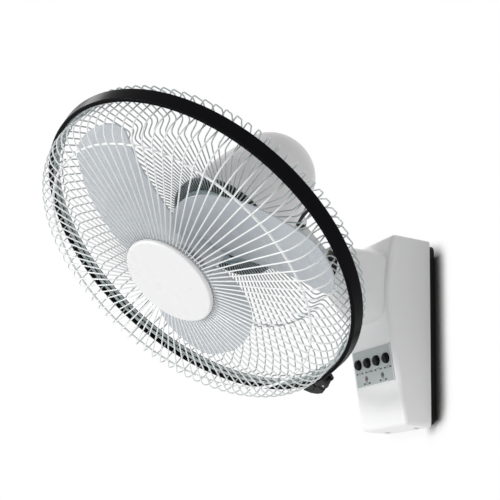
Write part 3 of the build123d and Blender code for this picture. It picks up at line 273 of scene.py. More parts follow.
# relief: moulded grain with a coarser swell, cast cells, brushed lines, wound turns
GRAIN_SHARE = 0.75
COARSE_TIMES = 7.0
CELL_SHARE = 0.6
BRUSH_STRETCH: Point3 = (1.0, 1.0, 0.06)
WAVE_PITCH = 0.3
WAVE_DISTORTION = 0.4
WAVE_HEIGHT = 1
# dust on faces that look up
DUST_MM = 1.4
DUST_EDGE = 0.42
DUST_CONTRAST = 3.0
DUST_COLOUR: Colour = (0.62, 0.61, 0.58)


@dataclass(frozen=True)
class Finish:
    """A finish on one kind of part, with its own fine detail."""

    name: str
    colour: Colour
    shade: Colour
    roughness: float
    metallic: float = 0.0
    coat: float = 0.0
    relief: Relief = Relief.MOULDED
    grain_mm: float = 0.6
    depth_mm: float = 0.02
    strength: float = 0.25
    dust: float = 0.0
    specular: float = 0.5
    glow: Colour | None = None
    glow_strength: float = 0.0
    sheen_mm: float = 45.0
    # painted shade: the greyer colour that the guard's wires take toward and behind the rim
    painted_rim_shade: Colour | None = None
    # distance in front of the rim over which the painted shade by the rim gives way to the colour
    painted_shade_span: Point2 = (4.0, 36.0)

    def height(self, graph: Graph) -> Value:
        """The fine relief of the surface.

        Args:
            graph: The material's graph.

        Returns:
            A height, about 0 to 1.
        """
        if self.relief is Relief.BRUSHED:
            return graph.noise(self.grain_mm, detail=4.0, stretch=BRUSH_STRETCH)
        if self.relief is Relief.CAST:
            cells = graph.node("ShaderNodeTexVoronoi", {"feature": "SMOOTH_F1"}, {
                "Vector": graph.place(), "Scale": 1.0 / (self.grain_mm * MM)})
            return blend(cells, graph.noise(self.grain_mm / 2), CELL_SHARE)
        if self.relief is Relief.WOUND:
            return graph.node("ShaderNodeTexWave", {"wave_type": "RINGS", "bands_direction": "Y"}, {
                "Vector": graph.place(), "Scale": WAVE_PITCH / (self.grain_mm * MM),
                "Distortion": WAVE_DISTORTION}, WAVE_HEIGHT)
        swell = graph.noise(self.grain_mm * COARSE_TIMES, detail=2.0)
        return blend(graph.noise(self.grain_mm), swell, GRAIN_SHARE)

    def dusted(self, graph: Graph, colour: Value) -> Value:
        """Dust in specks on the faces that look up.

        Args:
            graph: The material's graph.
            colour: The clean colour.

        Returns:
            The colour with its dust.
        """
        normal = graph.node("ShaderNodeNewGeometry", {}, {}, "Normal")
        upward = graph.node("ShaderNodeSeparateXYZ", {}, {0: normal}, "Z")
        speck = graph.noise(DUST_MM, detail=5.0)
        settled = graph.node("ShaderNodeMath", {"operation": "MULTIPLY", "use_clamp": True}, {
            0: (speck - DUST_EDGE) * DUST_CONTRAST, 1: upward * self.dust})
        return graph.mix(settled, colour, DUST_COLOUR)

    def with_painted_rim_shade(self, graph: Graph, colour: Value) -> Value:
        """Painted shade: the guard's wires coloured greyer toward the rim and behind it, where they lie in
        shade; the wire itself is one white.

        Args:
            graph: The material's graph.
            colour: The colour well in front of the rim.

        Returns:
            The colour along the whole guard.
        """
        rim = HEAD.centre.dot(HEAD.forward) * MM
        along = graph.node("ShaderNodeVectorMath", {"operation": "DOT_PRODUCT"}, {
            0: graph.place(), 1: tuple(HEAD.forward)}, "Value")
        start, end = (rim + ahead * MM for ahead in self.painted_shade_span)
        return graph.mix(graph.fade(along, start, end), self.painted_rim_shade, colour)

    def make(self) -> bpy.types.Material:
        """Build the material.

        Returns:
            A material with broad mottle, fine relief and handling marks, and, where it is set, painted shade
            greying the guard's wires toward the rim.
        """
        material = bpy.data.materials.new(self.name)
        graph = Graph(material)
        broad = graph.noise(self.sheen_mm, detail=2.0)
        fine = graph.noise(self.grain_mm * FINE_TIMES, detail=4.0)
        colour = graph.mix(blend(broad, fine, BROAD_SHARE), self.colour, self.shade)
        if self.dust > 0.0:
            colour = self.dusted(graph, colour)
        # painted shade: the wires greyed toward and behind the rim
        if self.painted_rim_shade is not None:
            colour = self.with_painted_rim_shade(graph, colour)
        marks = blend(graph.noise(SMEAR_MM, stretch=SMEAR_STRETCH), fine, SMEAR_SHARE)
        inputs: dict[str | int, Term] = {
            "Base Color": colour,
            "Roughness": self.roughness * ROUGH_LEAST + marks * (self.roughness * ROUGH_SWING),
            "Normal": graph.bump(self.height(graph), self.strength, self.depth_mm),
            "Metallic": self.metallic,
            "Coat Weight": self.coat,
            "Coat Roughness": COAT_ROUGHNESS,
            "Specular IOR Level": self.specular,
        }
        if self.glow is not None:
            inputs["Emission Color"] = self.glow
            inputs["Emission Strength"] = self.glow_strength
        graph.close("ShaderNodeOutputMaterial", graph.node("ShaderNodeBsdfPrincipled", {}, inputs))
        return material


HOUSING_WHITE = Finish(
    "housing_white", (0.81, 0.81, 0.812), (0.79, 0.79, 0.796), 0.30, coat=0.35, grain_mm=0.5,
    depth_mm=0.012, strength=0.12, dust=0.05)
MOTOR_WHITE = Finish(
    "motor_white", (0.60, 0.59, 0.595), (0.57, 0.56, 0.57), 0.34, coat=0.25, grain_mm=0.5,
    depth_mm=0.012, strength=0.12, dust=0.06)
CAP_WHITE = Finish(
    "cap_white", (0.80, 0.80, 0.805), (0.78, 0.78, 0.79), 0.28, coat=0.3, grain_mm=0.4,
    depth_mm=0.01, strength=0.1)
PLATE_BLACK = Finish(
    "plate_black", (0.006, 0.006, 0.006), (0.010, 0.010, 0.010), 0.5, grain_mm=0.45,
    depth_mm=0.05, strength=0.45, dust=0.05, specular=0.25)
BAND_BLACK = Finish(
    "band_black", (0.004, 0.004, 0.005), (0.006, 0.006, 0.007), 0.22, grain_mm=0.4,
    depth_mm=0.012, strength=0.12, specular=0.02)
BUTTON_BLACK = Finish(
    "button_black", (0.002, 0.002, 0.003), (0.003, 0.003, 0.004), 0.13, coat=0.03, grain_mm=0.3,
    depth_mm=0.006, strength=0.08, specular=0.08)
LABEL_GREY = Finish(
    "label_grey", (0.40, 0.445, 0.44), (0.36, 0.40, 0.395), 0.36, coat=0.15, grain_mm=0.25,
    depth_mm=0.012, strength=0.25, sheen_mm=18.0)
INK_DARK = Finish(
    "ink_dark", (0.012, 0.013, 0.014), (0.02, 0.021, 0.022), 0.45, grain_mm=0.15, depth_mm=0.01)
INK_WHITE = Finish(
    "ink_white", (0.84, 0.85, 0.86), (0.80, 0.81, 0.82), 0.4, grain_mm=0.15, depth_mm=0.01)
LAMP_RED = Finish(
    "lamp_red", (0.15, 0.018, 0.016), (0.10, 0.012, 0.012), 0.12, coat=0.5, grain_mm=0.3,
    depth_mm=0.004, strength=0.05, glow=(0.9, 0.05, 0.04), glow_strength=0.01)
LAMP_GREEN = Finish(
    "lamp_green", (0.014, 0.07, 0.026), (0.010, 0.05, 0.02), 0.12, coat=0.5, grain_mm=0.3,
    depth_mm=0.004, strength=0.05)
# guard wire: one white paint, with painted shade greying it toward and behind the rim
WIRE_WHITE = Finish(
    "wire_white", (0.85, 0.872, 0.87), (0.79, 0.815, 0.815), 0.32, coat=0.3, grain_mm=0.5,
    depth_mm=0.02, strength=0.3, painted_rim_shade=(0.48, 0.53, 0.53))
BLADE_GREY = Finish(
    "blade_grey", (0.51, 0.545, 0.58), (0.48, 0.51, 0.545), 0.27, coat=0.3, grain_mm=0.7,
    depth_mm=0.015, strength=0.12, sheen_mm=80.0)
# the rear guard's plate, white like the wires, coloured a darker grey-teal as painted shade
PLATE_PAINTED_SHADE = Finish(
    "rear_plate_painted_shade", (0.47, 0.56, 0.575), (0.42, 0.51, 0.53), 0.38, grain_mm=0.4, depth_mm=0.02,
    strength=0.25)
COVER_BLACK = Finish(
    "cover_black", (0.008, 0.009, 0.009), (0.014, 0.015, 0.015), 0.55, grain_mm=0.5,
    depth_mm=0.05, strength=0.4, dust=0.05, specular=0.25)
NECK_GREY = Finish(
    "neck_grey", (0.56, 0.57, 0.575), (0.50, 0.51, 0.515), 0.4, coat=0.15, grain_mm=0.6,
    depth_mm=0.03, strength=0.3, relief=Relief.CAST)
SCREW_STEEL = Finish(
    "screw_steel", (0.56, 0.56, 0.57), (0.42, 0.42, 0.43), 0.34, metallic=1.0,
    relief=Relief.BRUSHED, grain_mm=0.25, depth_mm=0.01)
CORE_STEEL = Finish(
    "core_steel", (0.30, 0.30, 0.31), (0.20, 0.20, 0.21), 0.42, metallic=1.0,
    relief=Relief.WOUND, grain_mm=0.5, depth_mm=0.03, strength=0.5)
CAST_ALLOY = Finish(
    "cast_alloy", (0.60, 0.60, 0.61), (0.48, 0.48, 0.49), 0.5, metallic=1.0,
    relief=Relief.CAST, grain_mm=0.8, depth_mm=0.04, strength=0.4)
BUSH_BRONZE = Finish(
    "bush_bronze", (0.10, 0.07, 0.04), (0.06, 0.045, 0.03), 0.45, metallic=1.0,
    relief=Relief.CAST, grain_mm=0.4, depth_mm=0.02)
COIL_COPPER = Finish(
    "coil_copper", (0.52, 0.22, 0.09), (0.34, 0.13, 0.05), 0.3, metallic=0.9,
    relief=Relief.WOUND, grain_mm=0.7, depth_mm=0.12, strength=0.8)
BOARD_GREEN = Finish(
    "board_green", (0.02, 0.12, 0.045), (0.015, 0.085, 0.03), 0.4, coat=0.3, grain_mm=0.5,
    depth_mm=0.02)
BATTERY_DARK = Finish(
    "battery_dark", (0.06, 0.065, 0.075), (0.045, 0.05, 0.055), 0.45, grain_mm=0.5,
    depth_mm=0.03)


class Paintbox:
    """Builds each finish once and puts it on objects."""

    def __init__(self) -> None:
        """Start with no materials made."""
        self._made: dict[str, bpy.types.Material] = {}

    def get(self, finish: Finish) -> bpy.types.Material:
        """The material of a finish, made at its first use.

        Args:
            finish: The finish.

        Returns:
            Its one material.
        """
        if finish.name not in self._made:
            self._made[finish.name] = finish.make()
        return self._made[finish.name]

    def dress(self, finishes: dict[str, Finish]) -> list[str]:
        """Give CAD nodes their finishes.

        Args:
            finishes: What each node is made of, by the node's name.

        Returns:
            The nodes' names.
        """
        for name, finish in finishes.items():
            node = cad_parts[name]
            for holder in node.material_slots:
                holder.material = self.get(finish)
            if not node.material_slots:
                node.data.materials.append(self.get(finish))
        return list(finishes)


PAINT = Paintbox()


# ---------------------------------------------------------------- where the head stands
@dataclass(frozen=True)
class HeadFrame:
    """The tilted head's own directions, in degrees and millimetres."""

    pan: float = 13.13
    tilt: float = 51.14
    # the pan axis, the height of the rim's middle and its level distance from that axis
    pan_y: float = -126.0
    ring_z: float = 54.5
    ring_ahead: float = 230.0

    @property
    def heading(self) -> Vector:
        """Level direction that the head faces."""
        turn = math.radians(self.pan)
        return Vector((math.sin(turn), -math.cos(turn), 0.0))

    @property
    def lateral(self) -> Vector:
        """The head's own right."""
        turn = math.radians(self.pan)
        return Vector((math.cos(turn), math.sin(turn), 0.0))

    @property
    def forward(self) -> Vector:
        """Along the motor's shaft, out of the front."""
        lean = math.radians(self.tilt)
        return self.heading * math.cos(lean) - Vector((0.0, 0.0, math.sin(lean)))

    @property
    def upward(self) -> Vector:
        """The head's own up."""
        lean = math.radians(self.tilt)
        return self.heading * math.sin(lean) + Vector((0.0, 0.0, math.cos(lean)))

    @property
    def centre(self) -> Vector:
        """The middle of the guard's rim."""
        return Vector((0.0, self.pan_y, self.ring_z)) + self.heading * self.ring_ahead

    def direction(self, turn: float) -> Vector:
        """Outward from the shaft at an angle from the head's right, in radians."""
        return self.lateral * math.cos(turn) + self.upward * math.sin(turn)

    def point(self, radius: float, turn: float, along: float) -> Vector:
        """A point by radius, angle and distance along the shaft.

        Args:
            radius: Distance from the shaft.
            turn: Angle from the head's right, in radians.
            along: Distance in front of the rim.

        Returns:
            The point, in metres.
        """
        return (self.centre + self.direction(turn) * radius + self.forward * along) * MM


HEAD = HeadFrame()


# ---------------------------------------------------------------- meshes
def make_piece(name: str, mesh: bmesh.types.BMesh, finish: Finish, body: Body,
                smooth: bool = True) -> bpy.types.Object:
    """Turn a finished bmesh into a piece that rides on a body.

    Args:
        name: The piece's name.
        mesh: The bmesh, freed here.
        finish: Its finish.
        body: The body that it moves with.
        smooth: Whether its faces are shaded smooth.

    Returns:
        The new object.
    """
    data = bpy.data.meshes.new(name)
    bmesh.ops.recalc_face_normals(mesh, faces=mesh.faces[:])
    mesh.to_mesh(data)
    mesh.free()
    for face in data.polygons:
        face.use_smooth = smooth
    data.materials.append(PAINT.get(finish))
    made = bpy.data.objects.new(name, data)
    bpy.context.scene.collection.objects.link(made)
    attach(made, body.value)
    return made


def rounded(points: Sequence[Point2], bends: Sequence[float], steps: int = 6) -> list[Point2]:
    """A flat path with its corners rounded.

    Args:
        points: The path's corners.
        bends: The bend radius at each inner corner.
        steps: How many pieces each bend has.

    Returns:
        Points along the rounded path.
    """
    path = [points[0]]
    for before, corner, after, bend in zip(points, points[1:], points[2:], bends):
        inward = Vector(before) - Vector(corner)
        outward = Vector(after) - Vector(corner)
        half = inward.angle(outward) / 2
        inward.normalize()
        outward.normalize()
        middle = Vector(corner) + (inward + outward).normalized() * (bend / math.sin(half))
        reach = bend / math.tan(half)
        first = Vector(corner) + inward * reach - middle
        last = Vector(corner) + outward * reach - middle
        sweep = first.angle_signed(last)
        for i in range(steps + 1):
            turned = first.copy()
            turned.rotate(Matrix.Rotation(-sweep * i / steps, 2))
            path.append(tuple(middle + turned))
    path.append(points[-1])
    return path


def arc(x: float, up: float, radius: float, start: float, end: float, steps: int = 14) -> list[Point2]:
    """Points of an arc.

    Args:
        x: How far right its centre is.
        up: How far up its centre is.
        radius: Its radius.
        start: The angle of its first point, in degrees.
        end: The angle of its last point, in degrees.
        steps: How many pieces it has.

    Returns:
        The points in order.
    """
    turns = [math.radians(start + (end - start) * i / steps) for i in range(steps + 1)]
    return [(x + radius * math.cos(turn), up + radius * math.sin(turn)) for turn in turns]


def add_tube(mesh: bmesh.types.BMesh, centres: Sequence[Vector],
             across: Sequence[tuple[Vector, Vector]], radius: float, sides: int) -> None:
    """Add one round tube with closed ends to a bmesh.

    Args:
        mesh: The bmesh to add to.
        centres: Points along the tube, in metres.
        across: Two directions across the tube at each point.
        radius: The tube's radius in metres.
        sides: How many sides it has.
    """
    turns = [2 * math.pi * k / sides for k in range(sides)]
    loops = [[mesh.verts.new(centre + (one * math.cos(turn) + two * math.sin(turn)) * radius)
              for turn in turns] for centre, (one, two) in zip(centres, across)]
    for low, high in zip(loops, loops[1:]):
        for k in range(sides):
            after = (k + 1) % sides
            mesh.faces.new((low[k], low[after], high[after], high[k]))
    mesh.faces.new(list(reversed(loops[0])))
    mesh.faces.new(loops[-1])


# ---------------------------------------------------------------- guard
# distance from the shaft at which the wires meet both rim rings
RIM_RADIUS = 211.6


@dataclass
class WireGuard:
    """The front and rear cages of bent round wire, welded to their rings."""

    wire: float = 1.8
    sides: int = 8
    front_count: int = 90
    rear_count: int = 100
    # each wire's corners, as radius and distance in front of the rim
    front_path: Sequence[Point2] = ((RIM_RADIUS, 1.2), (RIM_RADIUS, 44.6), (54.0, 55.0))
    front_bends: Sequence[float] = (24.0,)
    rear_path: Sequence[Point2] = (
        (RIM_RADIUS, -1.2), (RIM_RADIUS, -8.5), (221.1, -19.0), (202.6, -35.0), (158.5, -50.0),
        (150.5, -33.0), (76.0, -50.9), (52.0, -50.9))
    rear_bends: Sequence[float] = (5.5,) * 6
    # each guard's first wire, as a share of one space from the head's right
    front_start: float = 0.0
    rear_start: float = 0.5
    finishes: dict[str, Finish] = field(default_factory=lambda: {
        "front_rim_ring": WIRE_WHITE, "rear_rim_ring": WIRE_WHITE, "front_support_ring": WIRE_WHITE,
        "front_centre_ring": WIRE_WHITE, "rear_plate": PLATE_PAINTED_SHADE, "guard_nut": COVER_BLACK,
        "trim_band": BAND_BLACK, "front_cap": CAP_WHITE, "cap_retainer": CAP_WHITE,
        "cap_screws": SCREW_STEEL})

    def bars(self, name: str, path: Sequence[Point2], bends: Sequence[float], count: int,
             start: float) -> bpy.types.Object:
        """All the radial wires of one guard.

        Args:
            name: The piece's name.
            path: The wire's corners, as radius and distance in front of the rim.
            bends: The bend radius at each inner corner.
            count: How many wires stand round the guard.
            start: The first wire's place, as a share of one space.

        Returns:
            The finished cage.
        """
        line = rounded(path, bends)
        slopes = [Vector((high[0] - low[0], high[1] - low[1])).normalized()
                  for low, high in zip([line[0], *line[:-1]], [*line[1:], line[-1]])]
        mesh = bmesh.new()
        for k in range(count):
            turn = 2 * math.pi * (k + start) / count
            side = HEAD.direction(turn)
            around = HEAD.direction(turn + math.pi / 2)
            across = [(side * -slope.y + HEAD.forward * slope.x, around) for slope in slopes]
            centres = [HEAD.point(radius, turn, along) for radius, along in line]
            add_tube(mesh, centres, across, self.wire / 2 * MM, self.sides)
        made = make_piece(name, mesh, WIRE_WHITE, Body.HEAD)
        return made

    def build(self) -> list[str]:
        """Make both cages in place of the coarse ones, and dress the rings and the cap.

        Returns:
            The pieces' names.
        """
        front = self.bars("front_guard_bars", self.front_path, self.front_bends, self.front_count,
                          self.front_start)
        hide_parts("front_guard_wires")
        rear = self.bars("rear_guard_bars", self.rear_path, self.rear_bends, self.rear_count,
                         self.rear_start)
        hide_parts("rear_guard_wires")
        return [front.name, rear.name, *PAINT.dress(self.finishes)]


# ---------------------------------------------------------------- console
@dataclass(frozen=True)
class Stroke:
    """One printed line of even width, in millimetres from the middle of its sign."""

    line: Sequence[Point2]
    width: float
    closed: bool = False


POWER_SIGN = (
    Stroke(arc(0.0, 0.0, 1.7, 130.0, 410.0), 0.5),
    Stroke(((0.0, 0.6), (0.0, 2.3)), 0.5))
SPEED_SIGN = tuple(
    Stroke(((-2.4 + k * 1.6, -1.6), (-2.4 + k * 1.6, -0.8 + k * 0.9)), 0.8) for k in range(4))
SWING_SIGN = (
    Stroke(arc(0.0, -1.0, 2.6, 25.0, 155.0), 0.5),
    Stroke(((-3.4, 1.3), (-2.3, -0.1), (-0.9, 0.6)), 0.5),
    Stroke(((3.4, 1.3), (2.3, -0.1), (0.9, 0.6)), 0.5))
TIMER_SIGN = (
    Stroke(arc(0.0, 0.0, 2.0, 0.0, 345.0), 0.5, True),
    Stroke(((0.0, 1.3), (0.0, 0.0), (1.0, -0.5)), 0.45))
BATTERY_SIGN = (
    Stroke(((-3.0, -1.3), (2.4, -1.3), (2.4, 1.3), (-3.0, 1.3)), 0.45, True),
    Stroke(((3.0, -0.6), (3.0, 0.6)), 0.6),
    Stroke(((-1.9, -0.7), (-1.9, 0.7)), 0.8))
MAINS_SIGN = (Stroke(((0.9, 1.9), (-1.0, 0.0), (0.8, -0.1), (-0.9, -2.0)), 0.5),)
SIDE_BARS = tuple(Stroke(((side * 4.2, 0.0), (side * 8.8, 0.0)), 2.2) for side in (-1, 1))
LAMP_RING = (Stroke(arc(0.0, 0.0, 3.4, 0.0, 345.0, 24), 0.9, True),)
# painted highlight: a pale line hugging each button's rim
BUTTON_RIM_HIGHLIGHT = (Stroke(arc(0.0, 0.0, 8.0, 0.0, 352.0, 40), 0.35, True),)


@dataclass
class Console:
    """The sloping control panel: label, printed marks, buttons and lamps."""

    # the panel's upper and lower edge, as Y and Z
    top: Point2 = (-72.9, 2.0)
    foot: Point2 = (-48.9, -127.0)
    middle_z: float = -45.0
    width: float = 94.0
    height: float = 51.0
    thick: float = 0.8
    buttons: int = 4
    pitch: float = 23.0
    button_up: float = 6.0
    lamp_x: float = 20.0
    lamp_up: float = -14.5
    # how far the signs lie under the buttons and the lamps, and the bars under the signs
    sign_drop: float = 11.4
    lamp_sign_drop: float = 6.4
    bar_drop: float = 0.6
    # the pale border
    inset: float = 0.7
    corner: float = 2.0
    corner_steps: int = 6
    border_width: float = 1.1
    # the ink's thickness, and the share of a line's width that is flat on top
    ink: float = 0.06
    flat: float = 0.9
    finishes: dict[str, Finish] = field(default_factory=lambda: {
        "panel_label": LABEL_GREY, "button_1": BUTTON_BLACK, "button_2": BUTTON_BLACK,
        "button_3": BUTTON_BLACK, "button_4": BUTTON_BLACK, "led_red": LAMP_RED,
        "led_green": LAMP_GREEN})

    @property
    def lean(self) -> float:
        """The panel's slope, in radians."""
        return math.atan2(self.foot[0] - self.top[0], self.top[1] - self.foot[1])

    def point(self, x: float, up: float, out: float) -> Vector:
        """A point on the panel.

        Args:
            x: Distance to the right.
            up: Distance up the slope from the label's middle.
            out: Distance out of the panel.

        Returns:
            The point, in metres.
        """
        share = (self.top[1] - self.middle_z) / (self.top[1] - self.foot[1])
        middle = Vector((0.0, self.top[0] + (self.foot[0] - self.top[0]) * share, self.middle_z))
        normal = Vector((0.0, -math.cos(self.lean), -math.sin(self.lean)))
        slope = Vector((0.0, -math.sin(self.lean), math.cos(self.lean)))
        return (middle + Vector((x, 0.0, 0.0)) + slope * up + normal * out) * MM

    def print_sign(self, mesh: bmesh.types.BMesh, sign: Sequence[Stroke], x: float, up: float) -> None:
        """Print a sign's lines on the label.

        Args:
            mesh: The bmesh to add to.
            sign: The lines.
            x: How far right of the label's middle the sign is.
            up: How far up the slope it is.
        """
        section = ((-1.0, 0.0), (-self.flat, self.ink), (self.flat, self.ink), (1.0, 0.0))
        for stroke in sign:
            line = [(x + right, up + rise) for right, rise in stroke.line]
            count = len(line)
            rows = []
            for i, spot in enumerate(line):
                before = line[i - 1] if stroke.closed or i else line[i]
                after = line[(i + 1) % count] if stroke.closed or i < count - 1 else line[i]
                along = (Vector(after) - Vector(before)).normalized()
                side = Vector((-along.y, along.x)) * (stroke.width / 2)
                rows.append([
                    mesh.verts.new(self.point(spot[0] + side.x * k, spot[1] + side.y * k, self.thick + rise))
                    for k, rise in section])
            for i in range(count if stroke.closed else count - 1):
                low, high = rows[i], rows[(i + 1) % count]
                for k in range(len(section) - 1):
                    mesh.faces.new((low[k], low[k + 1], high[k + 1], high[k]))

    def border(self) -> list[Point2]:
        """A rounded rectangle just inside the label's edge.

        Returns:
            Its points in order.
        """
        half_x = self.width / 2 - self.inset - self.corner
        half_y = self.height / 2 - self.inset - self.corner
        line: list[Point2] = []
        for sign_x, sign_y, start in ((1, 1, 0), (-1, 1, 90), (-1, -1, 180), (1, -1, 270)):
            line += arc(sign_x * half_x, sign_y * half_y, self.corner, start, start + 90,
                        self.corner_steps)
        return line

    def marks(self) -> list[str]:
        """Print the signs with their bars, the lamps' rings and the label's pale border, and the pale rings
        round the buttons, which are painted highlight.

        Returns:
            The pieces' names.
        """
        columns = [(i - (self.buttons - 1) / 2) * self.pitch for i in range(self.buttons)]
        low, lamp_low = self.button_up - self.sign_drop, self.lamp_up - self.lamp_sign_drop
        dark = bmesh.new()
        for x, sign in zip(columns, (POWER_SIGN, SPEED_SIGN, SWING_SIGN, TIMER_SIGN)):
            self.print_sign(dark, sign, x, low)
            self.print_sign(dark, SIDE_BARS, x, low - self.bar_drop)
        for x, sign in ((-self.lamp_x, BATTERY_SIGN), (self.lamp_x, MAINS_SIGN)):
            self.print_sign(dark, sign, x, lamp_low)
            self.print_sign(dark, SIDE_BARS, x, lamp_low)
            self.print_sign(dark, LAMP_RING, x, self.lamp_up)
        make_piece("panel_marks", dark, INK_DARK, Body.BASE, False)
        pale = bmesh.new()
        self.print_sign(pale, (Stroke(self.border(), self.border_width, True),), 0.0, 0.0)
        # painted highlight round each button, printed with the pale border
        for x in columns:
            self.print_sign(pale, BUTTON_RIM_HIGHLIGHT, x, self.button_up)
        make_piece("panel_print_and_button_highlights", pale, INK_WHITE, Body.BASE, False)
        return ["panel_marks", "panel_print_and_button_highlights"]

    def build(self) -> list[str]:
        """Dress the panel's pieces and print its marks."""
        return [*PAINT.dress(self.finishes), *self.marks()]


@dataclass
class Fan:
    """The CAD nodes that keep their shape and only take a finish."""

    finishes: dict[str, Finish] = field(default_factory=lambda: {
        "base_housing": HOUSING_WHITE, "wall_plate": PLATE_BLACK, "housing_screws": SCREW_STEEL,
        "control_board": BOARD_GREEN, "board_screws": SCREW_STEEL, "button_switches": COVER_BLACK,
        "battery": BATTERY_DARK, "power_board": BOARD_GREEN, "transformer": CORE_STEEL,
        "power_inlet": COVER_BLACK, "pan_bush": BUSH_BRONZE, "swing_motor": CAST_ALLOY,
        "pan_shaft": SCREW_STEEL, "swivel_ball": COVER_BLACK, "neck_stem": NECK_GREY,
        "tilt_bolt": SCREW_STEEL, "tilt_nut": SCREW_STEEL, "tilt_bracket": COVER_BLACK,
        "motor_shell": MOTOR_WHITE, "motor_cover": COVER_BLACK, "motor_frame": CAST_ALLOY,
        "frame_screws": SCREW_STEEL, "bearings": BUSH_BRONZE, "stator": CORE_STEEL, "coils": COIL_COPPER,
        "rotor_core": CORE_STEEL, "rotor_shaft": SCREW_STEEL, "drive_pin": SCREW_STEEL,
        "propeller": BLADE_GREY, "propeller_nut": COVER_BLACK, "latch_base": PLATE_BLACK,
        "latch_keeper": PLATE_BLACK, "latch_pin": SCREW_STEEL, "latch_lever": PLATE_BLACK})

    def build(self) -> list[str]:
        """Dress each node."""
        return PAINT.dress(self.finishes)


# ---------------------------------------------------------------- studio
@dataclass(frozen=True)
class Lamp:
    """A distant lamp: the direction toward it, how wide it looks in degrees, and its strength."""

    name: str
    toward: Point3
    width: float
    power: float


